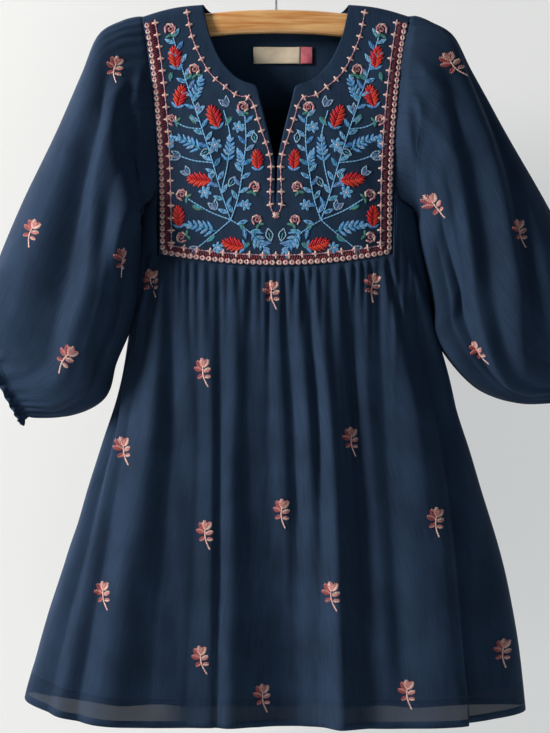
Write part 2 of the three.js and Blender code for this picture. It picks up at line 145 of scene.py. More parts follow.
# Rows of the front yoke from its lower edge up: the inner end lies on the middle, the slit,
# the notch or the neck, the outer end on the yoke's side.
FRONT_YOKE_ROWS = table(
    "inner_x inner_z side_z",
    (0, -307, -295.5),
    (0, -279, -269),
    (0, -251, -243),
    (0.9, -230, -222),
    (1.4, -209, -203),
    (4.2, -193, -187),
    (9.5, -170, -167),
    (15, -149, -149),
    (18.5, -137, -136),
    (31, -132, -126),
    (41, -125, -117),
    (53, -110, -106),
    (62.5, -88, -91),
    (66.5, -72, -80),
    (68.3, -63, -73.5),
    (69, -57.5, -69),
)


def half_width(x, z):
    return np.where(x < 0, read(FORM, "z", "right", z), read(FORM, "z", "left", z))


def depth_at(face, x, z, half=half_width):
    across = np.clip(np.abs(x) / half(x, z), 0, 1)
    return read(FORM, "z", face, z) * (1 - across**ROUNDNESS) ** (1 / ROUNDNESS)


def on_face(face, x, depth, z):
    """Points of the front or back at a depth from the plane of the side seams."""
    return np.stack([x, -depth if face == "front" else depth, z], -1)


def shoulder_z(x):
    t = np.maximum(0, np.abs(x) - NECK_HALF) / (SHOULDER_HALF - NECK_HALF)
    return mix(NECK_POINT_Z, SHOULDER_END_Z, t) + SHOULDER_BOW * np.sin(np.pi * np.minimum(1, t))


def yoke_point(face, x, z):
    """A point of a yoke: the cloth turns over the bar just below the shoulder line."""
    below = np.clip((shoulder_z(x) - z) / SHOULDER_ROUND, 0, 1)
    return on_face(face, x, SHOULDER_GAP / 2 + depth_at(face, x, z) * np.sqrt(1 - (1 - below) ** 2), z)


def yoke_lower_z(x):
    return YOKE_BOTTOM_Z + YOKE_CORNER_RISE * (x / YOKE_HALF) ** 2


def armhole_half(face, z):
    turn_z = ARMHOLE_TURN_Z[face]
    side = read(YOKE_SIDE, "z", face, np.maximum(z, turn_z))
    t = np.clip((turn_z - z) / (turn_z - UNDERARM_Z), 0, 1)
    return mix(side, UNDERARM_HALF, 1 - np.sqrt(1 - t * t))


# Folds and small unevenness of the cloth

HILL_WAVES = 7
# Waves along a seam that make its gathers uneven: two in spacing, one in height, two in length.
GATHER_WAVES = (2.3, 5.1, 4.3, 6.7, 2.9)


def unevenness(a, b, wavelength, seed):
    """Soft hills about 1 high, from a few crossing waves with fixed phases."""
    draw = np.random.default_rng(seed)
    hills = 0
    for turn in draw.uniform(0, np.pi, HILL_WAVES):
        stretch = draw.uniform(0.7, 1.6)
        phase = draw.uniform(0, 2 * np.pi)
        along = a * np.cos(turn) + b * np.sin(turn)
        hills = hills + np.sin(2 * np.pi * along / (wavelength * stretch) + phase)
    return hills / (HILL_WAVES / 2)


def fold_rise(lines, stations, across, down, sharp):
    """Height over the smooth form between given crest and trough lines.

    Each line has a place and a rise at every station down the cloth."""
    def along_lines(word):
        columns = [lines[f"{word}{k + 1}"] for k in range(len(stations))]
        return np.stack([smooth(stations, values, down) for values in zip(*columns)])

    places, rises = along_lines("at"), along_lines("rise")
    i = np.clip((across[None] >= places).sum(0) - 1, 0, len(places) - 2)[None]
    low_place, high_place = (np.take_along_axis(places, i + k, 0)[0] for k in (0, 1))
    first, second = (np.take_along_axis(rises, i + k, 0)[0] for k in (0, 1))
    t = np.clip((across - low_place) / np.maximum(high_place - low_place, 0.1), 0, 1)
    from_trough = np.where(first < second, t, 1 - t)
    round_both = from_trough**2 * (3 - 2 * from_trough)
    round_crest = 1 - (1 - from_trough) ** 2
    return np.minimum(first, second) + np.abs(second - first) * mix(round_both, round_crest, sharp)


def small_gathers(u, below, count, rise, reach, seed):
    """Fine puckers under a seam, uneven in spacing, height and length."""
    draw = np.random.default_rng(seed)
    phases = draw.uniform(0, 2 * np.pi, len(GATHER_WAVES))
    waves = [2 * np.pi * times * u + phase for times, phase in zip(GATHER_WAVES, phases)]
    drift = 1.6 * np.sin(waves[0]) + 0.9 * np.sin(waves[1])
    ripple = 0.5 + 0.5 * np.cos(2 * np.pi * count * u + drift)
    height = 0.72 + 0.28 * np.sin(waves[2])
    length = reach * (1 + 0.45 * np.sin(waves[3]) * np.cos(waves[4]))
    return rise * height * ripple * (1 - np.exp(-below / 3)) * np.exp(-((below / length) ** 2))


def outward_normal(surface, a, b, step_a, step_b, outward):
    along_a = surface(a + step_a, b) - surface(a - step_a, b)
    along_b = surface(a, b + step_b) - surface(a, b - step_b)
    normal = np.cross(along_a, along_b)
    normal /= np.maximum(np.linalg.norm(normal, axis=-1, keepdims=True), 1e-9)
    facing = np.sign((normal * outward).sum(-1, keepdims=True))
    return normal * np.where(facing == 0, 1, facing)


# Front and back yokes

YOKE_GRID_ROWS = 75
YOKE_GRID_COLUMNS = 46
BACK_YOKE_GRID_ROWS = 40


def front_yoke_surface(x, z):
    point = yoke_point("front", x, z)
    slack = ease(-75, -110, z) * ease(YOKE_BOTTOM_Z, YOKE_BOTTOM_Z + 25, z)
    broad = unevenness(x, z, wavelength=46, seed=11)
    fine = unevenness(x, z, wavelength=17, seed=12)
    point[..., 1] -= slack * (0.7 * broad + 0.3 * fine)
    return point


def back_yoke_surface(x, z):
    point = yoke_point("back", x, z)
    point[..., 1] += ease(-75, -100, z) * 0.6 * unevenness(x, z, wavelength=40, seed=13)
    return point


def front_yoke_grid(side):
    rows = np.linspace(0, len(FRONT_YOKE_ROWS["inner_x"]) - 1, YOKE_GRID_ROWS + 1)[:, None]
    share = np.linspace(0, 1, YOKE_GRID_COLUMNS + 1)[None]
    knots = np.arange(len(FRONT_YOKE_ROWS["inner_x"]))
    inner_x, inner_z, side_z = (smooth(knots, FRONT_YOKE_ROWS[name], rows) for name in FRONT_YOKE_ROWS)
    inner_x = np.where(rows <= SLIT_FOOT_ROW, 0, np.maximum(inner_x, 0.05))
    bend = mix(2, 1, rows / knots[-1])
    x = mix(inner_x, read(YOKE_SIDE, "z", "front", side_z), share)
    bow = SHOULDER_BOW * np.sin(np.pi * share) * ease(-110, -70, side_z)
    z = mix(inner_z, side_z, share**bend) + bow
    return front_yoke_surface(side * x, z)


def back_yoke_grid():
    share = np.linspace(-1, 1, 2 * YOKE_GRID_COLUMNS + 1)[None]
    height = 1 - np.linspace(1, 0, BACK_YOKE_GRID_ROWS + 1)[:, None] ** 1.6
    top_x = SHOULDER_HALF * share
    in_neck = np.clip(np.abs(top_x) / NECK_HALF, 0, 1)
    neck = mix(BACK_NECK_Z, NECK_POINT_Z, in_neck**8)
    top_z = np.where(np.abs(top_x) < NECK_HALF, neck, shoulder_z(top_x))
    z = mix(BACK_YOKE_Z, top_z, height)
    reach = mix(BACK_YOKE_Z, SHOULDER_END_Z, height)
    return back_yoke_surface(read(YOKE_SIDE, "z", "back", reach) * share, z)


# Skirt panels and their lining

SKIRT_COLUMNS = {"front": 260, "back": 200}
SKIRT_ROWS = {"front": 104, "back": 84}
SKIRT_CORNER = {"front": 0.6, "back": 0.66}
LINING_COLUMNS = 72
LINING_ROWS = 46
FOLD_SHARPNESS = 0.35
TUCK = 4
HEM_TURN = 6.5
SEE_THROUGH_TOP = 27

# Crest and trough lines from the wearer's right to the left: places in millimetres from the
# middle and rises, each at the gathers, half way down and near the hem.
SKIRT_STATIONS = (-307, -470, -718)
FRONT_FOLDS = table(
    "at1 at2 at3 rise1 rise2 rise3",
    (-133, -166, -240, 0, 0, 0),
    (-128, -158, -229, 3, 4, 4),
    (-122, -153, -212, -1, -1, 0),
    (-116, -147, -198, 4, 5, 6),
    (-111, -139, -183, -1, 2, -1),
    (-104, -118, -162, 4.5, 8, 10),
    (-99, -98, -118, -1, -5, -7),
    (-92, -79, -92, 2.5, -5, -13),
    (-84, -73, -84, 0.5, -6, -14.5),
    (-69, -60, -61, 2.5, -4, -13.5),
    (-50, -54, -56, 0, -9, -17),
    (-36, -41, -45, 2.5, -4, -9),
    (-28, -27, -22, 0, -10.5, -19),
    (-10, -15, -8, 2, -10.5, -26),
    (-7, -6, 2, 0, -12, -30),
    (-2, 6, 12, 2.5, -6.5, -32),
    (6, 17, 20, 0, -11, -32),
    (18, 31, 38, 2.5, 0.5, -25),
    (28, 40, 45, 0, -3.5, -19),
    (34, 51, 60, 2.5, 10, 6),
    (46, 60, 72, 0.5, 6, 0),
    (57, 66, 78, 2.5, 3, -4),
    (64, 75, 86, 0, -6, -8),
    (79, 88, 108, 2.5, 1.5, -4),
    (93, 102, 118, 0, -1, -4),
    (98, 131, 158, 4, 7, 6),
    (104, 140, 168, -1, 6, 7),
    (110, 146, 175, 4, 4, 6),
    (116, 156, 183, -2, -3, -15),
    (126, 170, 208, 5, 4, -13),
    (133, 184, 242, 0, 0, 0),
)
BACK_FOLDS = table(
    "at1 at2 at3 rise1 rise2 rise3",
    (-133, -166, -240, 0, 0, 0),
    (-98, -142, -190, 2, 8, 14),
    (-84, -118, -152, 0, 0, 1),
    (-70, -92, -112, 2.5, 11, 18),
    (-52, -66, -80, 0, 1, 0),
    (-34, -42, -48, 2, 8, 12),
    (-22, -27, -28, 0.5, 4, 7),
    (-10, -10, -8, 2.5, 10, 15),
    (6, 10, 14, 0, 0, 0),
    (24, 32, 38, 2.5, 12, 19),
    (44, 56, 68, 0, 1, 0),
    (60, 80, 104, 2, 9, 15),
    (78, 104, 134, 0, 2, 1),
    (98, 140, 186, 2, 9, 13),
    (133, 184, 242, 0, 0, 0),
)
SKIRT_FOLDS = {"front": FRONT_FOLDS, "back": BACK_FOLDS}

# How much wider than its solid the skirt hangs under the left arm.
LEFT_SLACK = table("z wider", (-240, 0), (-262, 4), (-300, 8), (-345, 9), (-375, 6), (-405, 2.5), (-440, 0))


def skirt_half(x, z):
    return half_width(x, z) + np.where(x > 0, read(LEFT_SLACK, "z", "wider", z), 0)


def hem_z(x):
    out = np.clip(np.abs(x) / half_width(x, np.full_like(x, HEM_Z)), 0, 1)
    return HEM_Z + np.where(x < 0, HEM_RISE_RIGHT, HEM_RISE_LEFT) * out**5


def panel_top(face, u):
    """Upper edge of a skirt panel: tucked behind the yoke, then down the armhole."""
    front = face == "front"
    side = np.where(u < 0.5, -1.0, 1.0)
    out = np.clip(np.abs(u - 0.5) * 2, 0, 1)
    corner = SKIRT_CORNER[face]
    back_half = read(YOKE_SIDE, "z", "back", BACK_YOKE_Z) - SEAM_GAP
    seam_x = side * (YOKE_HALF + SIDE_GAP if front else back_half) * np.minimum(1, out / corner)
    seam_z = yoke_lower_z(seam_x) if front else np.full_like(seam_x, BACK_YOKE_Z)
    turn = np.clip((out - corner) / (1 - corner), 0, 1)
    side_z = mix((ARMHOLE_TURN_Z["front"] if front else BACK_YOKE_Z) - 2, UNDERARM_Z, turn)
    clear = (SIDE_GAP if front else -SEAM_GAP) * (1 - turn)
    side_x = side * (armhole_half(face, side_z) + clear)
    on_seam = out <= corner
    tuck = TUCK * ease(corner, corner - 0.06, out)
    x = np.where(on_seam, seam_x, side_x)
    z = np.where(on_seam, seam_z - SEAM_GAP + tuck, side_z - SEAM_GAP * (1 + 2.5 * turn))
    return x, z


def skirt_form(face, u, v):
    """The smooth skirt: a fan of lines from the upper edge to the hem.

    The armhole's edge leaves out the slack under the left arm, so that the side seams meet."""
    top_x, top_z = panel_top(face, u)
    curve = 2 / ROUNDNESS
    in_armhole = top_z > UNDERARM_Z - 2 * TUCK
    top_half = np.where(in_armhole, half_width(top_x, top_z), skirt_half(top_x, top_z))
    top_across = np.clip(top_x / top_half, -1, 1)
    top_angle = np.arccos(-np.sign(top_across) * np.abs(top_across) ** (1 / curve))
    angle = mix(top_angle, np.pi * np.clip(u, 0, 1), ease(0, 0.9, np.maximum(v, 0) ** 0.8))
    cosine = -np.cos(angle)
    across = np.sign(cosine) * np.abs(cosine) ** curve
    deep = np.maximum(0, np.sin(angle)) ** curve
    z = mix(top_z, hem_z(across * half_width(across, np.full_like(across, HEM_Z))), v)
    y = SEAM_GAP * np.minimum(1, 6 * deep) + read(FORM, "z", face, z) * deep
    return on_face(face, across * skirt_half(across, z), y, z)


def skirt_rise(face, x, z):
    """Height of the folds and gathers over the smooth skirt."""
    seam = yoke_lower_z(x) if face == "front" else np.full_like(x, BACK_YOKE_Z)
    below = seam - z
    under_yoke = ease(1.14, 1.02, np.abs(x) / (YOKE_HALF + 0.25 * np.maximum(below, 0)))
    rise = fold_rise(SKIRT_FOLDS[face], SKIRT_STATIONS, x, z, FOLD_SHARPNESS) * ease(-2, 30, below)
    share = (x / (2 * YOKE_HALF)) + 0.5
    gathers = small_gathers(share, np.maximum(below, 0), count=25, rise=3.2, reach=58, seed=21)
    rise = rise + gathers * under_yoke
    rise = rise + ease(20, 120, below) * (0.8 * unevenness(x, z * 0.45, wavelength=34, seed=22))
    return rise - 1.5 * ease(7, 0, below) * (np.abs(x) < YOKE_HALF + 3)


def skirt_surface(face, u, v):
    """The folded skirt for its mesh, by shares across and down."""
    def form(a, b):
        return skirt_form(face, a, b)

    point = form(u, v)
    outward = OUTWARD[face] + point * np.array([0.02, 0, 0])
    inner_u = np.clip(u, 0.003, 0.997)
    normal = outward_normal(form, inner_u, np.clip(v, 0.004, 0.996), 0.002, 0.003, outward)
    edge = ease(0, 0.03, u) * ease(1, 0.97, u)
    corner = SKIRT_CORNER[face]
    in_armhole = ease(corner - 0.03, corner + 0.03, np.abs(u - 0.5) * 2)
    edge = edge * mix(1, ease(0, 0.07, v), in_armhole)
    rise = skirt_rise(face, point[..., 0], point[..., 2]) * edge
    return point + normal * rise[..., None]


def skirt_at(face, x, z):
    """The folded skirt for its sprigs, by place seen from the front."""
    def form(a, b):
        return on_face(face, a, SEAM_GAP + depth_at(face, a, b, skirt_half), b)

    normal = outward_normal(form, x, z, 0.5, 0.5, OUTWARD[face])
    return form(x, z) + normal * skirt_rise(face, x, z)[..., None]


def skirt_grid(face):
    u = np.linspace(0, 1, SKIRT_COLUMNS[face] + 1)[None]
    v = np.linspace(0, 1, SKIRT_ROWS[face] + 1)[:, None] ** 1.25
    u, v = np.broadcast_arrays(u, v)
    return skirt_surface(face, u, v)


def lining_grid(face):
    u = np.linspace(0, 1, LINING_COLUMNS + 1)[None]
    down = np.linspace(1, 0, LINING_ROWS + 1)[:, None]
    angle = np.pi * u
    across = -np.cos(angle) + 0 * down
    deep = np.maximum(np.sin(angle), 0) + 0 * down
    top = (YOKE_BOTTOM_Z if face == "front" else BACK_YOKE_Z) + LINING_TOP_LAP
    foot = HEM_Z + LINING_ABOVE_HEM + HEM_RISE_LEFT * np.abs(across) ** 7
    z = mix(top, foot, down)
    inside = mix(2.4, 5, ease(0, 0.4, down))
    wide = half_width(across, z)
    x = across * mix(wide * 0.8, wide - 10, ease(0, 0.3, down))
    y = np.maximum(SEAM_GAP / 2, (depth_at(face, x, z) - inside) * deep**0.12 + SEAM_GAP / 2)
    trough = np.minimum(0, fold_rise(SKIRT_FOLDS[face], SKIRT_STATIONS, x * 1.04, z, FOLD_SHARPNESS))
    wave = ease(0.1, 0.8, down) * deep * (1 + unevenness(x, z * 0.25, wavelength=60, seed=31))
    y = np.maximum(SEAM_GAP / 2, y + 1.2 * trough - 1.5 * wave * ease(0.1, 0.4, deep))
    return on_face(face, x, y, z)


# Sleeves: side is -1 for the wearer's right one and 1 for the left one

SLEEVE_COLUMNS = 176
SLEEVE_ROWS = 118
RING_ROUNDNESS = 2 / 2.3
CASING_RING = 10
FRILL_RING = 11
SLEEVE_FOLD_DEPTH = 1.4
SLEEVE_FOLD_SHARPNESS = 0.25
GATHER_SEED = {-1: 45, 1: 41}
LEFT_SLEEVE_SPREAD = math.radians(5)
# How far the left sleeve puffs out in front, just below the armhole.
LEFT_PUFF = 13

# Rings of the right sleeve after the armhole, down to the casing and the frill's edge: the
# outer end on the shoulder side, the inner end under the arm, and the depths.
SLEEVE_RINGS = table(
    "outer_x outer_y outer_z inner_x inner_y inner_z front back",
    (-146, -1, -74, -131, -13, -258, 20, 23),
    (-167, -2, -87, -128.5, -22, -274, 26, 29),
    (-180, -3, -122, -129, -30, -295, 32, 33),
    (-198, -4, -163, -131, -35, -320, 31, 36),
    (-217, -5, -205, -135, -37, -345, 31, 38),
    (-239, -6, -252, -142, -36, -370, 33, 40),
    (-260, -7, -299, -155, -30, -398, 39, 40),
    (-274, -8, -335, -166, -20, -428, 38, 37),
    (-279, -8, -353, -196, -13, -446, 30, 29),
    (-276, -8, -363, -234, -9, -447, 17, 17),
    (-286, -8, -367, -241, -8, -456, 20, 20),
)

# Crest and trough lines round a sleeve, in degrees from the shoulder side by the front, at
# four rings down the sleeve.
SLEEVE_STATIONS = (1.5, 4, 6, 8.5)
RIGHT_SLEEVE_FOLDS = table(
    "at1 at2 at3 at4 rise1 rise2 rise3 rise4",
    (-14, -8, -4, 0, 0, 0, 0, 0),
    (30, 50, 58, 66, 1, 6, 8, 6),
    (60, 75, 89, 99, 0, -2, -3, 0),
    (76, 88, 106, 116, 4, 6, 9, 6),
    (100, 103, 118, 127, 0, 2, 7, 5),
    (124, 116, 130, 137, 0, 2, 4, 5),
    (142, 138, 150, 152, 0, -6, -7, -2),
    (172, 172, 170, 166, 0, -3, -3, 0),
    (206, 204, 202, 200, 1, 4, 5, 4),
    (230, 230, 232, 228, 0, 0, 1, 1),
    (258, 262, 264, 262, 3, 7, 8, 5),
    (284, 290, 288, 292, 0, 0, 0, 1),
    (310, 316, 320, 322, 2, 5, 6, 4),
    (346, 352, 356, 360, 0, 0, 0, 0),
)
LEFT_SLEEVE_FOLDS = table(
    "at1 at2 at3 at4 rise1 rise2 rise3 rise4",
    (-12, -6, 4, 20, 0, 0, 0, 0),
    (6, 20, 46, 84, 0, 2, 4, 4),
    (14, 32, 62, 98, 0, 0, 0, 0),
    (28, 50, 75, 112, 2, 5.5, 6, 4),
    (56, 80, 93, 124, 1, -0.5, -1, 0),
    (76, 91, 108, 138, 4, 3, 3, 3),
    (92, 104, 117, 144, 3, -2, -6, -2),
    (114, 124, 129, 150, 4, -9, -13, -6),
    (138, 144, 148, 158, 1, -6, -8, -4),
    (158, 166, 171, 174, -1, 0, 1, -1),
    (174, 183, 190, 190, 0, 0, 0, 0),
    (200, 198, 200, 204, 1, 3, 5, 4),
    (226, 228, 230, 232, 0, 0, 1, 1),
    (252, 258, 262, 264, 3, 7, 8, 5),
    (282, 286, 290, 292, 0, 1, 0, 1),
    (312, 318, 322, 330, 2, 5, 6, 4),
    (348, 354, 364, 380, 0, 0, 0, 0),
)
SLEEVE_FOLDS = {-1: RIGHT_SLEEVE_FOLDS, 1: LEFT_SLEEVE_FOLDS}

# Single ridges on the front of a sleeve: places of the crest seen from the front, from the
# armhole down, then half width and rise.
SLEEVE_RIDGES = {
    -1: ((((-121, -136), (-131, -191), (-133, -237), (-145, -283), (-157, -318)), 11, 9),
         (((-121, -112), (-131, -140), (-140, -172)), 5, 2.5)),
    1: ((((124, -152), (126, -180), (130, -208), (139, -238)), 6, 4),
        (((127, -140), (141, -163), (154, -184), (164, -201)), 5, 3),
        (((131, -112), (148, -132), (164, -150)), 5, 2)),
}
# How far the inner side of the left sleeve lies further out, back and up than the right one's.
LEFT_INNER_SHIFT = table(
    "ring out back up",
    (0, 0, 0, 0), (1, 2, 2, 0), (2, 7, 8, 0), (3, 11, 13, 0), (4, 13.5, 16, 0), (5, 14, 16, 0),
    (6, 9, 12, 1), (7, 1, 4, 4), (8, 0, 0, 7), (9, 0, 0, 7), (11, 0, 0, 5))


def ridge_rise(ridge, x, z):
    points, half, rise = ridge
    height = 0
    steps = np.linspace(0, 1, 24)
    knots = np.linspace(0, 1, len(points))
    crest_x, crest_z = (smooth(knots, [point[k] for point in points], steps) for k in (0, 1))
    for at_x, at_z, t in zip(crest_x, crest_z, steps):
        near = np.exp(-((x - at_x) ** 2 + (z - at_z) ** 2) / half**2)
        height = np.maximum(height, near * math.sin(math.pi * (0.12 + 0.76 * t)))
    return rise * height


def armhole_ring(angle):
    front = np.sin(angle) > 0
    z = mix(SHOULDER_END_Z, UNDERARM_Z, (1 - np.cos(angle)) / 2)
    low = (1 - np.cos(angle)) / 2
    half = np.where(front, armhole_half("front", z), armhole_half("back", z))
    x = -(half + SEAM_GAP * (1.6 + 3 * low**6))
    y = np.where(front, yoke_point("front", x, z)[..., 1], yoke_point("back", x, z)[..., 1])
    return np.stack([x, y - np.sign(y) * SHOULDER_GAP / 2, z + SEAM_GAP * (1 + 2 * low)], -1)


def sleeve_ring(row, angle):
    ring = {name: values[row] for name, values in SLEEVE_RINGS.items()}
    to_outer = np.cos(angle)
    to_front = np.sin(angle)
    along = np.sign(to_outer) * np.abs(to_outer) ** RING_ROUNDNESS
    deep = np.sign(to_front) * np.abs(to_front) ** RING_ROUNDNESS
    share = (1 + along) / 2
    x, y, z = (mix(ring[f"inner_{way}"], ring[f"outer_{way}"], share) for way in "xyz")
    depth = np.where(to_front > 0, ring["front"], ring["back"])
    return np.stack([x, y - deep * depth, z], -1)


def spread_left(point, angle, ring):
    """The left sleeve is the right one mirrored and hung further from the body."""
    share = (1 + np.cos(angle)) / 2
    turn = LEFT_SLEEVE_SPREAD * mix(ease(6, 8.5, ring), ease(0, 3.5, ring), share)
    pivot_x, pivot_z = SLEEVE_RINGS["outer_x"][1], SLEEVE_RINGS["outer_z"][1]
    inner = (1 - share) ** 2
    shifts = [float(read(LEFT_INNER_SHIFT, "ring", way, ring)) for way in ("out", "back", "up")]
    out, back, up = (inner * shift for shift in shifts)
    x, z = point[..., 0] - out - pivot_x, point[..., 2] + up - pivot_z
    turned_x = x * np.cos(turn) + z * np.sin(turn) + pivot_x
    turned_z = z * np.cos(turn) - x * np.sin(turn) + pivot_z
    return np.stack([-turned_x, point[..., 1] + back, turned_z], -1)


def sleeve_form(side, angle, down):
    rings = []
    for k in range(len(SLEEVE_RINGS["front"]) + 1):
        point = armhole_ring(angle) if k == 0 else sleeve_ring(k - 1, angle)
        rings.append(spread_left(point, angle, k) if side > 0 else point)
    rings = np.stack(rings)
    last = len(rings) - 1
    at = np.clip(down, 0, last)
    i = np.clip(np.floor(at).astype(int), 0, last - 1)
    t = (at - i)[..., None]
    rows = [np.clip(i + k, 0, last)[None, ..., None] for k in (-1, 0, 1, 2)]
    near = [np.take_along_axis(rings, row, 0)[0] for row in rows]
    start_slope = (near[2] - near[0]) / np.where(i > 0, 2, 1)[..., None]
    end_slope = (near[3] - near[1]) / np.where(i < last - 1, 2, 1)[..., None]
    return cubic(t, near[1], start_slope, near[2], end_slope)


def sleeve_middle(side, angle, down):
    return 0.5 * (sleeve_form(side, 0 * angle, down) + sleeve_form(side, 0 * angle + np.pi, down))


def sleeve_gathers(angle, down, seed):
    """Puckers at the armhole and the casing, and the waves of the frill."""
    share = angle / (2 * np.pi)
    near_shoulder = ease(-0.4, 0.5, np.cos(angle))
    armhole = small_gathers(share, 30 * down, count=34, rise=2.3, reach=46, seed=seed) * near_shoulder
    from_casing = 22 * np.abs(down - CASING_RING) + 1
    cuff = small_gathers(share, from_casing, count=27, rise=3.6, reach=15, seed=seed + 1)
    frill = 2.2 * np.sin(22 * angle + 1.3 * np.sin(3 * angle)) * ease(CASING_RING + 0.1, FRILL_RING, down)
    return armhole + cuff * ease(6.8, 8.8, down) + frill


def sleeve_rise(side, angle, down, point):
    """Height of the folds, ridges and gathers over the smooth sleeve.

    The placed folds start again at the shoulder side, so both ends are read there."""
    around = np.degrees(np.mod(angle, 2 * np.pi))
    rise, over = (fold_rise(SLEEVE_FOLDS[side], SLEEVE_STATIONS, at, down, SLEEVE_FOLD_SHARPNESS)
                  for at in (around, around - 360))
    rise = np.where(around > 340, np.maximum(rise, over), rise)
    between = ease(0.1, 1.4, down) * ease(CASING_RING - 0.1, CASING_RING - 2.2, down)
    rise = SLEEVE_FOLD_DEPTH * rise * between
    in_front = (np.sin(angle) > 0) * ease(0, 0.6, down)
    for ridge in SLEEVE_RIDGES[side]:
        rise = rise + ridge_rise(ridge, point[..., 0], point[..., 2]) * in_front
    if side > 0:
        puff = LEFT_PUFF * ease(0, 0.35, down) * ease(3.2, 0.5, down)
        rise = rise + puff * ease(20, 60, around) * ease(135, 100, around)
    rise = rise + sleeve_gathers(angle, down, GATHER_SEED[side])
    soft = ease(1.5, 3, down) * ease(9.6, 8, down)
    a, b = 40 * np.cos(angle) + 6 * down, 40 * np.sin(angle) + 9 * down
    return rise + soft * 0.9 * unevenness(a, b, wavelength=30, seed=47)


def sleeve_surface(side, angle, down):
    """The folded sleeve, with its upper edge tucked inside the armhole."""
    def form(a, b):
        return sleeve_form(side, a, b)

    point = form(angle, down)
    away = point - sleeve_middle(side, angle, down)
    normal = outward_normal(form, angle, np.clip(down, 0.06, FRILL_RING - 0.06), 0.02, 0.05, away)
    rise = sleeve_rise(side, angle, down, point)
    tucked = ease(0.08, 0, down)
    under = ease(0.75, 0.97, 0.5 - 0.5 * np.cos(angle))
    tuck_x = -side * TUCK * (1 - 0.4 * under) * tucked
    inward = np.stack([tuck_x, -1.6 * np.sign(point[..., 1]) * tucked, -1.5 * TUCK * under * tucked], -1)
    return point + inward + normal * rise[..., None]


def sleeve_grid(side):
    angle = np.linspace(0, 2 * np.pi, SLEEVE_COLUMNS + 1)[None, :-1]
    down = np.linspace(0, FRILL_RING, SLEEVE_ROWS + 1)[:, None]
    angle, down = np.broadcast_arrays(angle, down)
    return sleeve_surface(side, angle, down)


# Meshes from grids

def cloth_uv(points, closed):
    """Lengths along the cloth in metres: across from the first column, and up from the last row."""
    steps_down = np.linalg.norm(np.diff(points, axis=0), axis=-1)
    up = np.zeros(points.shape[:2])
    up[:-1] = np.cumsum(steps_down[::-1], axis=0)[::-1]
    ring = np.concatenate([points, points[:, :1]], 1) if closed else points
    steps_across = np.linalg.norm(np.diff(ring, axis=1), axis=-1)
    width = steps_across.sum(1).max()
    share = np.linspace(0, 1, ring.shape[1])[None]
    up = np.concatenate([up, up[:, :1]], 1) if closed else up
    return np.stack([np.broadcast_to(share * width, up.shape), up], -1) * MM


def grid_faces(rows, columns, closed):
    across = columns if closed else columns - 1
    r, c = np.meshgrid(np.arange(rows - 1), np.arange(across), indexing="ij")
    following = (c + 1) % columns
    here, below = r * columns, (r + 1) * columns
    return np.stack([here + c, here + following, below + following, below + c], -1).reshape(-1, 4)


def cloth_mesh(name, points, uv, outward, closed=False):
    """One sheet of cloth from a grid of points, with its faces turned outwards."""
    rows, columns = points.shape[:2]
    faces = grid_faces(rows, columns, closed)
    uv_faces = grid_faces(rows, uv.shape[1], False)
    flat = points.reshape(-1, 3)
    first, second, third = (flat[faces[:, k]] for k in (0, 1, 2))
    normals = np.cross(second - first, third - first)
    away = outward.reshape(-1, 3)[faces[:, 0]] if outward.ndim > 1 else outward
    if (normals * away).sum() < 0:
        faces = faces[:, ::-1]
        uv_faces = uv_faces[:, ::-1]
    mesh = bpy.data.meshes.new(name)
    mesh.from_pydata((flat * MM).tolist(), [], faces.tolist())
    layer = mesh.uv_layers.new(name="cloth")
    layer.data.foreach_set("uv", uv.reshape(-1, 2)[uv_faces].ravel())
    mesh.polygons.foreach_set("use_smooth", np.ones(len(faces), bool))
    mesh.update()
    return mesh


def put(name, data):
    """A new object in the scene."""
    made = bpy.data.objects.new(name, data)
    bpy.context.collection.objects.link(made)
    return made


def place_piece(name, mesh, material, wall=None):
    """A piece of the dress with its material, as a shell if it has a wall."""
    piece = put(name, mesh)
    mesh.materials.clear()
    mesh.materials.append(material)
    if wall:
        thickness = piece.modifiers.new("cloth thickness", "SOLIDIFY")
        thickness.thickness = wall * MM
        thickness.offset = 0
    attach(piece, "root")
    return piece


def joined(name, meshes):
    """One mesh from several, with points that meet made one."""
    work = bmesh.new()
    for mesh in meshes:
        work.from_mesh(mesh)
    bmesh.ops.remove_doubles(work, verts=work.verts, dist=0.01 * MM)
    whole = bpy.data.meshes.new(name)
    work.to_mesh(whole)
    work.free()
    return whole


# Colours and materials

def linear(hex_colour):
    """An sRGB hex colour as linear values."""
    channels = [int(hex_colour[k:k + 2], 16) / 255 for k in (0, 2, 4)]
    curve = [c / 12.92 if c <= 0.04045 else ((c + 0.055) / 1.055) ** 2.4 for c in channels]
    return (*curve, 1.0)


def add(tree, kind, inputs=None, **settings):
    """Adds a node with its settings, its values and its links."""
    made = tree.nodes.new(kind)
    for name, value in settings.items():
        setattr(made, name, value)
    for socket, value in (inputs or {}).items():
        if isinstance(value, bpy.types.NodeSocket):
            tree.links.new(value, made.inputs[socket])
        else:
            made.inputs[socket].default_value = value
    return made


def new_material(name):
    material = bpy.data.materials.new(name)
    material.use_nodes = True
    tree = material.node_tree
    tree.nodes.clear()
    return material, tree


def finish_material(material, shader):
    add(material.node_tree, "ShaderNodeOutputMaterial", {"Surface": shader.outputs[0]})
    return material


# Distance between the stripes of a wave texture of scale 1, and the pitch of threads and ribs.
# Real threads lie about 0.35 mm apart; they are drawn coarser so that they show.
WAVE_PERIOD = 0.31416
THREAD_PITCH = 0.9
WEAVE_SCALE = WAVE_PERIOD / (THREAD_PITCH * MM)

# Places from the middle of the hem between which its single layer gets clearer, and how well it
# covers at both.
VEIL_FROM = 80
VEIL_TO = 105
VEIL_IN_MIDDLE = 0.92
VEIL_AT_SIDES = 0.77


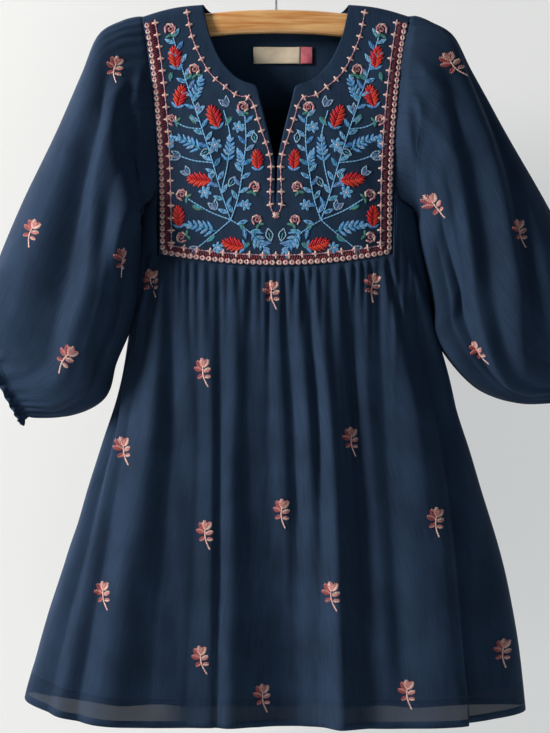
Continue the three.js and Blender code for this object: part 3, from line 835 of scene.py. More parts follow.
def sheer_hem(tree, uv):
    """How well the cloth covers: less in the single layer between the hem's turning and the lining."""
    height = add(tree, "ShaderNodeSeparateXYZ", {"Vector": uv}).outputs["Y"]
    above_turn = add(tree, "ShaderNodeMath", {0: height, 1: HEM_TURN * MM}, operation="GREATER_THAN")
    below_lining = add(tree, "ShaderNodeMath", {0: height, 1: SEE_THROUGH_TOP * MM}, operation="LESS_THAN")
    band = add(tree, "ShaderNodeMath", {0: above_turn.outputs[0], 1: below_lining.outputs[0]},
               operation="MULTIPLY")
    place = add(tree, "ShaderNodeTexCoord").outputs["Object"]
    across = add(tree, "ShaderNodeSeparateXYZ", {"Vector": place}).outputs["X"]
    from_middle = add(tree, "ShaderNodeMath", {0: across}, operation="ABSOLUTE")
    veil = add(tree, "ShaderNodeMapRange", {
        "Value": from_middle.outputs[0], "From Min": VEIL_FROM * MM, "From Max": VEIL_TO * MM,
        "To Min": VEIL_IN_MIDDLE, "To Max": VEIL_AT_SIDES})
    cover = add(tree, "ShaderNodeMapRange", {
        "Value": band.outputs[0], "To Min": 1.0, "To Max": veil.outputs[0]})
    return cover.outputs[0]


def woven_cotton(name, dark, light, see_through=False):
    """Fine plain-woven cotton, dyed in the piece: matt, a little fuzzy, with uneven threads."""
    material, tree = new_material(name)
    uv = add(tree, "ShaderNodeUVMap", uv_map="cloth").outputs["UV"]
    threads = {"Vector": uv, "Scale": WEAVE_SCALE, "Distortion": 1.2, "Detail": 1.0}
    warp, weft = (add(tree, "ShaderNodeTexWave", threads, bands_direction=way) for way in "XY")
    weave = add(tree, "ShaderNodeMath", {0: warp.outputs["Fac"], 1: weft.outputs["Fac"]}, operation="ADD")
    slub_place = add(tree, "ShaderNodeMapping", {"Vector": uv, "Scale": (1 / (1.6 * MM), 1 / (28 * MM), 1)})
    slubs = add(tree, "ShaderNodeTexNoise", {"Vector": slub_place.outputs[0], "Scale": 1.0, "Detail": 3.0})
    clouds = add(tree, "ShaderNodeTexNoise", {"Vector": uv, "Scale": 1 / (45 * MM), "Detail": 2.0})
    tone = add(tree, "ShaderNodeMath", {0: slubs.outputs["Fac"], 1: clouds.outputs["Fac"]}, operation="ADD")
    tone = add(tree, "ShaderNodeMapRange", {"Value": tone.outputs[0], "From Min": 0.75, "From Max": 1.25})
    colour = add(tree, "ShaderNodeMix", {"Factor": tone.outputs[0], "A": linear(dark), "B": linear(light)},
                 data_type="RGBA")
    relief = add(tree, "ShaderNodeMath", {0: weave.outputs[0], 1: 0.5, 2: slubs.outputs["Fac"]},
                 operation="MULTIPLY_ADD")
    bump = add(tree, "ShaderNodeBump", {
        "Height": relief.outputs[0], "Strength": 0.25, "Distance": 0.12 * MM})
    shader = add(tree, "ShaderNodeBsdfPrincipled", {
        "Base Color": colour.outputs["Result"], "Normal": bump.outputs[0], "Roughness": 0.82,
        "Specular IOR Level": 0.08, "Sheen Weight": 0.04, "Sheen Roughness": 0.45,
        "Sheen Tint": linear("8fa3cf")})
    if see_through:
        tree.links.new(sheer_hem(tree, uv), shader.inputs["Alpha"])
    return finish_material(material, shader)


def stranded_floss(name):
    """Stranded cotton embroidery floss: each stitch has its own dye and a soft silky shine."""
    material, tree = new_material(name)
    thread = add(tree, "ShaderNodeAttribute", attribute_name="thread")
    place = add(tree, "ShaderNodeTexCoord").outputs["Object"]
    fibres = add(tree, "ShaderNodeTexNoise", {"Vector": place, "Scale": 1 / (1.8 * MM), "Detail": 2.0})
    shade = add(tree, "ShaderNodeMapRange", {
        "Value": fibres.outputs["Fac"], "From Min": 0.3, "From Max": 0.7, "To Min": 0.78, "To Max": 1.12})
    colour = add(tree, "ShaderNodeMix", {
        "Factor": 1.0, "A": thread.outputs["Color"], "B": shade.outputs[0]},
        data_type="RGBA", blend_type="MULTIPLY")
    bump = add(tree, "ShaderNodeBump", {
        "Height": fibres.outputs["Fac"], "Strength": 0.4, "Distance": 0.15 * MM})
    shader = add(tree, "ShaderNodeBsdfPrincipled", {
        "Base Color": colour.outputs["Result"], "Normal": bump.outputs[0], "Roughness": 0.55,
        "Specular IOR Level": 0.3, "Sheen Weight": 0.08, "Sheen Roughness": 0.4})
    return finish_material(material, shader)


def varnished_beech(name):
    """Turned and varnished pale wood: honey streaks along the bar under a soft gloss."""
    material, tree = new_material(name)
    place = add(tree, "ShaderNodeTexCoord").outputs["Object"]
    along = add(tree, "ShaderNodeMapping", {
        "Vector": place, "Scale": (1 / (90 * MM), 1 / (5 * MM), 1 / (5 * MM))})
    streaks = add(tree, "ShaderNodeTexNoise", {
        "Vector": along.outputs[0], "Scale": 1.0, "Detail": 5.0, "Distortion": 0.4})
    fine = add(tree, "ShaderNodeMapping", {
        "Vector": place, "Scale": (1 / (22 * MM), 1 / (1.1 * MM), 1 / (1.1 * MM))})
    pores = add(tree, "ShaderNodeTexNoise", {"Vector": fine.outputs[0], "Scale": 1.0, "Detail": 3.0})
    grain = add(tree, "ShaderNodeMath", {0: pores.outputs["Fac"], 1: 0.35, 2: streaks.outputs["Fac"]},
                operation="MULTIPLY_ADD")
    ramp = add(tree, "ShaderNodeValToRGB", {"Fac": grain.outputs[0]})
    ramp.color_ramp.elements[0].position = 0.45
    ramp.color_ramp.elements[0].color = linear("c47b3a")
    ramp.color_ramp.elements[1].position = 0.85
    ramp.color_ramp.elements[1].color = linear("efbd80")
    bump = add(tree, "ShaderNodeBump", {
        "Height": pores.outputs["Fac"], "Strength": 0.2, "Distance": 0.1 * MM})
    shader = add(tree, "ShaderNodeBsdfPrincipled", {
        "Base Color": ramp.outputs["Color"], "Normal": bump.outputs[0], "Roughness": 0.42,
        "Coat Weight": 0.35, "Coat Roughness": 0.25})
    return finish_material(material, shader)


def plated_steel(name):
    """Drawn steel wire with a bright plating, a little brushed along its length."""
    material, tree = new_material(name)
    place = add(tree, "ShaderNodeTexCoord").outputs["Object"]
    marks = add(tree, "ShaderNodeTexNoise", {"Vector": place, "Scale": 1 / (2 * MM), "Detail": 3.0})
    rough = add(tree, "ShaderNodeMapRange", {"Value": marks.outputs["Fac"], "To Min": 0.2, "To Max": 0.42})
    shader = add(tree, "ShaderNodeBsdfPrincipled", {
        "Base Color": linear("c3c4c6"), "Metallic": 1.0, "Roughness": rough.outputs[0]})
    return finish_material(material, shader)


def woven_tape(name, dark, light):
    """Woven ribbon tape: close ribs across its length, matt, a little fuzzy at the edges."""
    material, tree = new_material(name)
    uv = add(tree, "ShaderNodeUVMap", uv_map="cloth").outputs["UV"]
    ribs = add(tree, "ShaderNodeTexWave", {
        "Vector": uv, "Scale": WEAVE_SCALE, "Distortion": 0.8, "Detail": 2.0}, bands_direction="Y")
    soil = add(tree, "ShaderNodeTexNoise", {"Vector": uv, "Scale": 1 / (7 * MM), "Detail": 3.0})
    tone = add(tree, "ShaderNodeMath", {0: ribs.outputs["Fac"], 1: 0.4, 2: soil.outputs["Fac"]},
               operation="MULTIPLY_ADD")
    tone = add(tree, "ShaderNodeMapRange", {"Value": tone.outputs[0], "From Min": 0.35, "From Max": 1.0})
    colour = add(tree, "ShaderNodeMix", {"Factor": tone.outputs[0], "A": linear(dark), "B": linear(light)},
                 data_type="RGBA")
    bump = add(tree, "ShaderNodeBump", {
        "Height": ribs.outputs["Fac"], "Strength": 0.4, "Distance": 0.15 * MM})
    shader = add(tree, "ShaderNodeBsdfPrincipled", {
        "Base Color": colour.outputs["Result"], "Normal": bump.outputs[0], "Roughness": 0.75,
        "Sheen Weight": 0.2, "Specular IOR Level": 0.3})
    return finish_material(material, shader)


def painted_wall(name, hex_colour, glow):
    """Matt painted plaster under an even wash of light of its own.

    The wall lets a view from behind it through, and casts no shadow."""
    material, tree = new_material(name)
    place = add(tree, "ShaderNodeTexCoord").outputs["Object"]
    grit = add(tree, "ShaderNodeTexNoise", {"Vector": place, "Scale": 1 / (4 * MM), "Detail": 2.0})
    bump = add(tree, "ShaderNodeBump", {
        "Height": grit.outputs["Fac"], "Strength": 0.05, "Distance": 0.3 * MM})
    shader = add(tree, "ShaderNodeBsdfPrincipled", {
        "Base Color": linear(hex_colour), "Normal": bump.outputs[0], "Roughness": 0.95,
        "Specular IOR Level": 0.0, "Emission Color": linear(hex_colour), "Emission Strength": glow})
    behind = add(tree, "ShaderNodeNewGeometry").outputs["Backfacing"]
    shadow = add(tree, "ShaderNodeLightPath").outputs["Is Shadow Ray"]
    unseen = add(tree, "ShaderNodeMath", {0: behind, 1: shadow}, operation="MAXIMUM")
    clear = add(tree, "ShaderNodeBsdfTransparent")
    seen = add(tree, "ShaderNodeMixShader", {
        0: unseen.outputs[0], 1: shader.outputs[0], 2: clear.outputs[0]})
    return finish_material(material, seen)


NAVY_VOILE = woven_cotton("navy_cotton_voile", "202f44", "283a53")
NAVY_SKIRT = woven_cotton("navy_cotton_voile_sheer_hem", "202f44", "283a53", see_through=True)
YOKE_VOILE = woven_cotton("navy_cotton_voile_yoke", "203146", "283a53")
LINING = woven_cotton("navy_cotton_lawn_lining", "161f32", "1f2a40")
FLOSS = stranded_floss("stranded_cotton_floss")
LABEL_TAPE = woven_tape("cream_woven_label_tape", "ead3b6", "faeed8")
TAB_TAPE = woven_tape("red_woven_tab_tape", "cf5468", "ee8c9a")


# Embroidery stitches

THREADS = {
    "red": "c01f2b",
    "deep red": "861626",
    "orange red": "cf3a2a",
    "pale blue": "93b3cf",
    "light blue": "76b0dc",
    "blue": "4787c6",
    "slate blue": "52769f",
    "lilac blue": "7f8dbb",
    "teal": "3a93a4",
    "green": "4a7d68",
    "old rose": "a8747e",
    "dusty pink": "c9949d",
    "beige pink": "d9bcb1",
    "maroon": "6b2333",
    "sprig pink": "c38482",
    "sprig light": "e0bab2",
    "sprig coral": "a04a4e",
}
STITCH_SIDES = 5
STITCH_RINGS = 4
# Shares of a stitch's width: how thick it is, how far it stands out and how far it runs on.
STITCH_THICK = 0.75
STITCH_OUT = 0.12
STITCH_RUN_ON = 0.5


def stitch_tree():
    """Puts a plump stitch on every point, turned and sized by the point's own values."""
    tree = bpy.data.node_groups.new("sewn stitches", "GeometryNodeTree")
    for name, kind in (("Points", "Geometry"), ("Sides of a stitch", "Int"), ("Rings of a stitch", "Int"),
                       ("Floss", "Material")):
        tree.interface.new_socket(name, in_out="INPUT", socket_type=f"NodeSocket{kind}")
    tree.interface.new_socket("Stitches", in_out="OUTPUT", socket_type="NodeSocketGeometry")
    given = add(tree, "NodeGroupInput")
    turn, size = (add(tree, "GeometryNodeInputNamedAttribute", {"Name": name}, data_type="FLOAT_VECTOR")
                  for name in ("turn", "size"))
    shape = add(tree, "GeometryNodeMeshUVSphere", {
        "Segments": given.outputs["Sides of a stitch"], "Rings": given.outputs["Rings of a stitch"],
        "Radius": 0.5})
    plump = add(tree, "GeometryNodeSetShadeSmooth", {0: shape.outputs[0]})
    laid = add(tree, "GeometryNodeInstanceOnPoints", {
        "Points": given.outputs["Points"], "Instance": plump.outputs[0],
        "Rotation": turn.outputs[0], "Scale": size.outputs[0]})
    real = add(tree, "GeometryNodeRealizeInstances", {0: laid.outputs[0]})
    dyed = add(tree, "GeometryNodeSetMaterial", {
        "Geometry": real.outputs[0], "Material": given.outputs["Floss"]})
    add(tree, "NodeGroupOutput", {0: dyed.outputs[0]})
    return tree


STITCH_TREE = stitch_tree()


def stitch_places(stitches, place):
    """Middle, turn and size of every drawn stitch on a cloth.

    A stitch is two ends in the drawing, a width and a thread. For points of the drawing, place
    gives points on the cloth and the directions out of it."""
    ends = np.array([one[:4] for one in stitches]).reshape(-1, 2, 2)
    widths = np.array([one[4] for one in stitches])
    start, out_start = place(ends[:, 0])
    end, out_end = place(ends[:, 1])
    length = np.linalg.norm(end - start, axis=1)
    out = out_start + out_end
    centre = 0.5 * (start + end) + 0.5 * out * (CLOTH / 2 + STITCH_OUT * widths)[:, None]
    turns = []
    for along, away in zip(end - start, out):
        z_axis = Vector(along).normalized()
        x_axis = Vector(away).cross(z_axis).normalized()
        y_axis = z_axis.cross(x_axis)
        turns.append(tuple(Matrix((x_axis, y_axis, z_axis)).transposed().to_euler()))
    size = np.stack([widths, STITCH_THICK * widths, length + STITCH_RUN_ON * widths], -1)
    return centre, turns, size


def sew(name, stitches, place):
    """Turns drawn stitches into one mesh of raised thread on a cloth."""
    centre, turns, size = stitch_places(stitches, place)
    points = bpy.data.meshes.new(name + " places")
    points.from_pydata((centre * MM).tolist(), [], [])
    dyes = [linear(THREADS[one[5]]) for one in stitches]
    for word, kind, field, own in (("turn", "FLOAT_VECTOR", "vector", turns),
                                   ("size", "FLOAT_VECTOR", "vector", size * MM),
                                   ("thread", "FLOAT_COLOR", "color", dyes)):
        points.attributes.new(word, kind, "POINT").data.foreach_set(field, np.ravel(own))
    holder = put(name + " places", points)
    maker = holder.modifiers.new("stitches", "NODES")
    maker.node_group = STITCH_TREE
    values = {"Sides of a stitch": STITCH_SIDES, "Rings of a stitch": STITCH_RINGS, "Floss": FLOSS}
    for item in STITCH_TREE.interface.items_tree:
        if item.name in values:
            maker[item.identifier] = values[item.name]
    evaluated = holder.evaluated_get(bpy.context.evaluated_depsgraph_get())
    mesh = bpy.data.meshes.new_from_object(evaluated)
    mesh.name = name
    bpy.data.objects.remove(holder)
    return place_piece(name, mesh, FLOSS)


# Drawing with stitches: each function adds to a list of stitches in a flat drawing

def along_line(points, step):
    points = np.array(points, float)
    lengths = np.concatenate([[0], np.cumsum(np.linalg.norm(np.diff(points, axis=0), axis=1))])
    count = max(1, round(lengths[-1] / step))
    at = np.linspace(0, lengths[-1], count + 1)
    return np.stack([smooth(lengths, points[:, k], at) for k in (0, 1)], -1)


def polar(centre, turn, reach):
    angle = math.radians(turn)
    return (centre[0] + reach * math.cos(angle), centre[1] + reach * math.sin(angle))


def beside(foot, turn, along, sign, aside):
    """A point along a direction and then off to one side of it."""
    return polar(polar(foot, turn, along), turn + 90 * sign, aside)


def heading(a, b):
    return math.degrees(math.atan2(b[1] - a[1], b[0] - a[0]))


def stitch(drawing, a, b, width, thread):
    drawing.append((a[0], a[1], b[0], b[1], width, thread))


def stem(drawing, points, thread="light blue", width=1.5, step=3.2):
    line = along_line(points, step)
    for a, b in zip(line[:-1], line[1:]):
        stitch(drawing, a, b, width, thread)


def blade(drawing, foot, turn, length, wide, thread, edge):
    """A small pointed leaf of a few long stitches."""
    stitch(drawing, foot, polar(foot, turn, length), 1.6, thread)
    for sign in (1, -1):
        bulge = beside(foot, turn, length * 0.45, sign, wide * 0.32)
        stitch(drawing, foot, bulge, 1.5, edge)
        stitch(drawing, bulge, polar(foot, turn, length * 0.94), 1.5, edge)


ALMOND_SLANT = 0.15


def almond(drawing, foot, turn, length, wide, left, right):
    """A leaf of slanting satin stitches to both sides of its middle."""
    count = max(3, round(length / 1.6))
    for k in range(count):
        s = (k + 0.4) / count
        half = 0.5 * wide * math.sin(math.pi * min(1, s * 0.86 + 0.14)) ** 0.8
        root = polar(foot, turn, s * length * (1 - ALMOND_SLANT))
        for sign, thread in ((1, left), (-1, right)):
            tip = beside(root, turn, length * ALMOND_SLANT, sign, half)
            stitch(drawing, root, tip, 1.5, thread)


LEAF_PITCH = 6.6


def leafy_stem(drawing, points):
    """A stem with pointed leaves to either side in turn."""
    stem(drawing, points)
    line = along_line(points, LEAF_PITCH)
    for k, (a, b) in enumerate(zip(line[:-1], line[1:])):
        turn = heading(a, b)
        lean = 48 if k % 2 else -48
        thread = ("blue", "light blue", "teal", "light blue", "lilac blue")[k % 5]
        edge = ("light blue", "blue", "light blue")[k % 3]
        blade(drawing, polar(b, turn + lean, 0.6), turn + lean, 10.5, 5.4, thread, edge)


def bud(drawing, x, z, turn, size):
    """A pointed red bud of feathered stitches with dark veins, on two small blue leaves."""
    length, wide, rows = 26 * size, 15.5 * size, 9
    foot = polar((x, z), turn, -length / 2)
    for k in range(rows):
        s = (k + 0.5) / rows
        half = 0.5 * wide * math.sin(math.pi * (0.14 + 0.84 * s)) ** 0.8 * (1 if k % 2 else 0.78)
        root = polar(foot, turn, s * length * 0.8)
        for sign, thread in ((1, "red"), (-1, "orange red")):
            tip = beside(root, turn, length * 0.2, sign, half)
            stitch(drawing, root, tip, 2.5 * size, thread)
            vein = beside(root, turn, length * 0.13, sign, half * 0.7)
            stitch(drawing, polar(root, turn, -0.6), vein, 1.1, "deep red")
    for sign in (1, -1):
        blade(drawing, foot, turn + 58 * sign, 8.5 * size, 4.4 * size, "light blue", "blue")


def rose(drawing, x, z, turn, size):
    """A small rose: curled petals round a dark heart, on two green sepals."""
    centre = (x, z)
    for k in range(6):
        at = turn - 125 + 48 * k
        a = polar(centre, at, 5.7 * size)
        b = polar(centre, at + 58, 4.7 * size)
        stitch(drawing, a, b, 2.5 * size, ("dusty pink", "old rose", "beige pink")[k % 3])
    for k in range(5):
        a = polar(centre, turn + 72 * k, (3.4 - 0.4 * k) * size)
        b = polar(centre, turn + 72 * (k + 1), (3.0 - 0.4 * k) * size)
        stitch(drawing, a, b, 1.7 * size, "old rose" if k % 2 else "dusty pink")
    stitch(drawing, polar(centre, turn, -1), polar(centre, turn, 1), 2.1 * size, "maroon")
    foot = polar(centre, turn + 180, 5.4 * size)
    for sign in (1, -1):
        blade(drawing, foot, turn + 180 + 62 * sign, 6 * size, 3.2, "teal", "green")


def spray(drawing, x, z, turn, size):
    """A bowed stem with pairs of pointed leaves that get smaller towards the tip."""
    length = 25 * size
    foot = polar((x, z), turn + 186, length * 0.62)
    tip = polar((x, z), turn - 6, length * 0.42)
    line = along_line([foot, (x, z), tip], 1)
    for k in range(5):
        root = line[int((0.12 + 0.2 * k) * (len(line) - 1))]
        reach = (10.5 - 1.0 * k) * size
        for sign in (1, -1):
            threads = ("light blue", "blue") if (k + sign) % 3 else ("lilac blue", "light blue")
            blade(drawing, root, turn + (48 - 3 * k) * sign, reach, 4.2 * size, *threads)
    blade(drawing, line[-1], turn - 8, 7 * size, 4 * size, "light blue", "light blue")
    stem(drawing, line[::3], "teal", 1.4)


def tulip(drawing, x, z, turn, size):
    """An open cup with a pale rim, filled with slanting stitches."""
    foot = polar((x, z), turn, -6 * size)
    almond(drawing, foot, turn, 10 * size, 7.5 * size, "slate blue", "lilac blue")
    for sign in (1, -1):
        side = [foot, beside(foot, turn, 4 * size, sign, 4.6 * size),
                beside(foot, turn, 11.5 * size, sign, 4.6 * size)]
        stem(drawing, side, "pale blue", 1.5, 2.6)
        lip = beside(foot, turn, 8 * size, sign, 1.4 * size)
        stitch(drawing, side[-1], lip, 1.4, "pale blue")


def daisy(drawing, x, z, turn, size):
    """Six pointed petals round a knot."""
    for k in range(6):
        at = turn + 60 * k
        blade(drawing, polar((x, z), at, 1.2 * size), at, 6.4 * size, 4.6 * size, "blue", "light blue")
    stitch(drawing, polar((x, z), 0, -0.8), polar((x, z), 0, 0.8), 2.4 * size, "beige pink")


def leaf(drawing, x, z, turn, size):
    almond(drawing, polar((x, z), turn, -6.5 * size), turn, 13 * size, 6.5 * size, "teal", "green")
    stem(drawing, [polar((x, z), turn, -8 * size), polar((x, z), turn, 4 * size)], "light blue", 1.1, 3)


def open_leaf(drawing, x, z, turn, size):
    """A leaf in outline with a vein."""
    foot = polar((x, z), turn, -7 * size)
    tip = polar((x, z), turn, 7 * size)
    for sign in (1, -1):
        stem(drawing, [foot, polar((x, z), turn + 90 * sign, 3.8 * size), tip], "pale blue", 1.4, 2.8)
    stem(drawing, [foot, polar((x, z), turn, 2 * size)], "teal", 1.3, 3)


MOTIFS = {motif.__name__: motif for motif in (bud, rose, spray, tulip, daisy, leaf, open_leaf)}

# Stems of the left half, each a few points from its root to its end.
LEAFY_STEMS = (
    ((42, -264), (51, -238), (59, -210), (69, -178), (80, -146), (90, -114), (97, -90)),
    ((42, -264), (35, -242), (31, -216), (28, -190), (29, -166)),
    ((42, -264), (25, -275), (10, -291)),
)
PLAIN_STEMS = (
    ((42, -264), (62, -256), (82, -244)),
    ((42, -264), (56, -276), (72, -289)),
    ((59, -210), (76, -208), (91, -203)),
    ((51, -238), (45, -210), (43, -184), (49, -160)),
    ((69, -178), (84, -176), (96, -170)),
)
# Kind, place, direction and size of each flower and leaf on the left half.
YOKE_FLOWERS = (
    ("bud", 95, -109, 82, 0.9),
    ("bud", 90, -146, 104, 0.9),
    ("bud", 58, -166, 70, 0.95),
    ("bud", 17.5, -207, 86, 0.8),
    ("bud", 72, -226, 6, 0.95),
    ("bud", 91, -260, 86, 0.85),
    ("bud", 40, -287, 14, 0.9),
    ("rose", 100, -82, 84, 1.0),
    ("rose", 77, -121, 70, 0.95),
    ("rose", 98, -169, 20, 0.9),
    ("rose", 31, -157, 80, 0.95),
    ("rose", 88, -240, 30, 0.95),
    ("rose", 20, -233, 110, 0.9),
    ("rose", 88, -280, -20, 0.9),
    ("rose", 18, -264, 60, 0.85),
    ("spray", 73, -139, 112, 0.8),
    ("spray", 70, -270, 12, 0.95),
    ("spray", 82, -190, 26, 0.9),
    ("spray", 15, -285, 236, 0.85),
    ("spray", 43, -197, 96, 0.85),
    ("tulip", 94, -203, 4, 0.85),
    ("tulip", 48, -152, 60, 0.85),
    ("tulip", 76, -292, -10, 0.75),
    ("tulip", 84, -218, 40, 0.75),
    ("tulip", 58, -250, 62, 0.8),
    ("tulip", 72, -158, 120, 0.75),
    ("daisy", 57, -193, 15, 0.95),
    ("daisy", 35, -176, 40, 0.8),
    ("daisy", 66, -238, 10, 0.85),
    ("daisy", 54, -290, 30, 0.75),
    ("daisy", 28, -250, 50, 0.75),
    ("leaf", 44, -170, 130, 0.75),
    ("leaf", 78, -168, 60, 0.75),
    ("leaf", 82, -128, 150, 0.65),
    ("leaf", 28, -288, 150, 0.75),
    ("leaf", 74, -252, 20, 0.7),
    ("open_leaf", 66, -200, 150, 0.8),
    ("open_leaf", 41, -228, 122, 0.8),
    ("open_leaf", 20, -186, 80, 0.75),
    ("open_leaf", 60, -222, 130, 0.6),
    ("open_leaf", 6, -278, 78, 0.9),
    ("leaf", 60, -281, 140, 0.7),
    ("leaf", 31, -271, 240, 0.65),
    ("leaf", 99, -127, 100, 0.6),
    ("spray", 33, -205, 78, 0.55),
    ("spray", 98, -190, 95, 0.45),
)

# How far the loops and the crosses of the border lie inside the yoke's edge, and their spacing.
LOOP_INSET = 3.6
CROSS_INSET = 11.8
LOOP_PITCH = 5.9
CROSS_PITCH = 11.9
# The line of crosses round the neck and the slit, from the shoulder to the foot of the slit.
NECK_LINE = ((84, -66), (79, -90), (68, -115), (59.5, -127.5), (48.5, -137), (37, -145.5), (24, -149.5),
             (16, -172), (12, -184), (7.6, -197), (4.6, -212), (5.2, -237), (4.6, -254), (0, -259.5))


def border_corner_line(inset):
    """A line down the side of the yoke and along its lower edge to the middle."""
    heights = np.linspace(-76, YOKE_BOTTOM_Z + YOKE_CORNER_RISE + inset * 0.9, 14)
    side = [(float(read(YOKE_SIDE, "z", "front", z)) - inset, z) for z in heights]
    widths = np.linspace(YOKE_HALF - inset, 0, 9)
    foot = [(x, float(yoke_lower_z(x)) + inset * 0.85) for x in widths]
    return side, foot


def cross_line(drawing, points):
    """Upright crosses on a thin line."""
    stem(drawing, points, "dusty pink", 1.2, 4)
    line = along_line(points, CROSS_PITCH)
    for k, at in enumerate(line):
        turn = heading(line[max(k - 1, 0)], line[min(k + 1, len(line) - 1)])
        stitch(drawing, polar(at, turn, -3), polar(at, turn, 3), 2.7, "dusty pink")
        stitch(drawing, polar(at, turn + 90, -3.2), polar(at, turn + 90, 3.2), 2.7, "beige pink")


def loop_line(drawing, points):
    """A chain of plump loops."""
    line = along_line(points, LOOP_PITCH)
    for a, b in zip(line[:-1], line[1:]):
        turn = heading(a, b)
        for sign in (1, -1):
            bow = beside(a, turn, LOOP_PITCH * 0.42, sign, 1.9)
            stitch(drawing, polar(a, turn, 0.3), bow, 2.4, "dusty pink")
            stitch(drawing, bow, polar(a, turn, LOOP_PITCH * 0.84), 2.4, "beige pink")


def maroon_line(drawing, points):
    """A cord of close slanting stitches."""
    line = along_line(points, 2.2)
    for a, b in zip(line[:-1], line[1:]):
        turn = heading(a, b)
        stitch(drawing, polar(a, turn + 70, -2.6), polar(a, turn + 70, 2.6), 1.8, "maroon")


def yoke_half_drawing():
    drawing = []
    for points in LEAFY_STEMS:
        leafy_stem(drawing, points)
    for points in PLAIN_STEMS:
        stem(drawing, points)
    for kind, x, z, turn, size in YOKE_FLOWERS:
        MOTIFS[kind](drawing, x, z, turn, size)
    for line in border_corner_line(LOOP_INSET):
        loop_line(drawing, line)
    for line in border_corner_line((LOOP_INSET + CROSS_INSET) / 2):
        maroon_line(drawing, line)
    for line in border_corner_line(CROSS_INSET):
        cross_line(drawing, line)
    cross_line(drawing, NECK_LINE)
    return drawing


def yoke_drawing():
    """Both halves: the right one is the left one mirrored."""
    half = yoke_half_drawing()
    return half + [(-ax, az, -bx, bz, width, thread) for ax, az, bx, bz, width, thread in half]


def on_cloth(surface, face):
    """Gives points on a cloth, and the directions out of it, for places seen from the front."""
    def place(points):
        x, z = points[:, 0], points[:, 1]
        return surface(x, z), outward_normal(surface, x, z, 0.5, 0.5, OUTWARD[face])

    return place


# Scattered sprigs of the skirt and sleeves

def sprig():
    """A rosebud sprig about 18 by 29 mm: bud on top, leaves, and a tail that curves away."""
    drawing = []
    for turn, left, right in ((54, "sprig pink", "sprig light"), (96, "sprig light", "sprig pink"),
                              (134, "sprig coral", "sprig pink")):
        almond(drawing, (0.5, 4.6), turn, 9.4, 5.6, left, right)
    almond(drawing, (0.2, 5), 112, 5.4, 2.6, "sprig coral", "sprig coral")
    almond(drawing, (-0.4, 2), 162, 8.8, 4.6, "sprig coral", "sprig pink")
    almond(drawing, (0.8, 0.6), 20, 7.6, 4.4, "sprig light", "sprig pink")
    almond(drawing, (0.2, -2), -150, 6.8, 3.8, "sprig pink", "sprig coral")
    almond(drawing, (1.6, -4), -2, 6, 3.4, "sprig pink", "sprig light")
    stem(drawing, [(0.4, 6), (0, 1), (0.8, -5), (2.8, -10), (4.6, -13.6)], "sprig light", 1.8, 2.6)
    return drawing


# Place of each sprig seen from the front, and its lean in degrees.
SKIRT_SPRIGS = {
    "front": table(
        "x z lean",
        (-116, -323, 4), (-4, -334, 0), (89, -327, -14), (-68, -406, 2), (-141, -480, 6), (69, -470, 0),
        (-66, -556, 0), (5, -536, -4), (146, -545, -6), (-159, -613, 4), (51, -612, 2), (-70, -672, 6),
        (214, -668, -4), (121, -703, 0), (-13, -708, 0)),
    "back": table(
        "x z lean",
        (-60, -190, 2), (52, -196, -3), (-4, -252, 0), (-84, -300, 5), (80, -306, -4), (-20, -370, 0),
        (112, -402, -6), (-112, -420, 4), (44, -468, 0), (-52, -508, 2), (132, -540, -5), (-150, -566, 6),
        (0, -600, 0), (86, -640, -3), (-92, -668, 3), (190, -672, -6), (-8, -704, 0)),
}
SLEEVE_SPRIGS = {
    (-1, "front"): table(
        "x z lean",
        (-152, -122, -14), (-224, -279, -24), (-194, -391, -40), (-143, -304, -8)),
    (-1, "back"): table(
        "x z lean",
        (-165, -170, -18), (-200, -262, -24), (-176, -352, -30), (-240, -366, -40)),
    (1, "front"): table(
        "x z lean",
        (165, -121, 32), (147, -252, 26), (226, -277, 8), (186, -392, 38)),
    (1, "back"): table(
        "x z lean",
        (168, -180, 20), (205, -270, 24), (178, -350, 28), (248, -362, 36)),
}


def laid_sprigs(sprigs):
    """Stitches of all sprigs of a table, as they are seen from the front."""
    laid = []
    for x, z, lean in zip(sprigs["x"], sprigs["z"], np.radians(sprigs["lean"])):
        across, up = np.cos(lean), np.sin(lean)
        for ax, az, bx, bz, width, thread in sprig():
            laid.append((x + ax * across - az * up, z + ax * up + az * across,
                         x + bx * across - bz * up, z + bx * up + bz * across, width, thread))
    return laid


def skirt_sprigs(face):
    def surface(x, z):
        return skirt_at(face, x, z)

    return sew(f"{face}_skirt_sprigs", laid_sprigs(SKIRT_SPRIGS[face]), on_cloth(surface, face))


def ring_values(form, tries, x, z):
    """The angle and ring at which a sleeve, seen from the front, lies at the wanted places.

    Starts from the nearest of a grid of tries and closes in."""
    angles, rings = tries
    grid = form(angles, rings)
    grid_x, grid_z = grid[..., 0], grid[..., 2]
    nearest = [np.argmin((grid_x - at_x) ** 2 + (grid_z - at_z) ** 2) for at_x, at_z in zip(x, z)]
    angle, ring = angles.ravel()[nearest], rings.ravel()[nearest]
    step = 0.002
    for _ in range(4):
        here = form(angle, ring)
        by_angle = (form(angle + step, ring) - here) / step
        by_ring = (form(angle, ring + step) - here) / step
        off_x, off_z = x - here[:, 0], z - here[:, 2]
        size = by_angle[:, 0] * by_ring[:, 2] - by_angle[:, 2] * by_ring[:, 0]
        size = np.where(np.abs(size) < 1, 1, size)
        angle = angle + np.clip((off_x * by_ring[:, 2] - off_z * by_ring[:, 0]) / size, -0.05, 0.05)
        ring = ring + np.clip((off_z * by_angle[:, 0] - off_x * by_angle[:, 2]) / size, -0.1, 0.1)
    return angle, ring


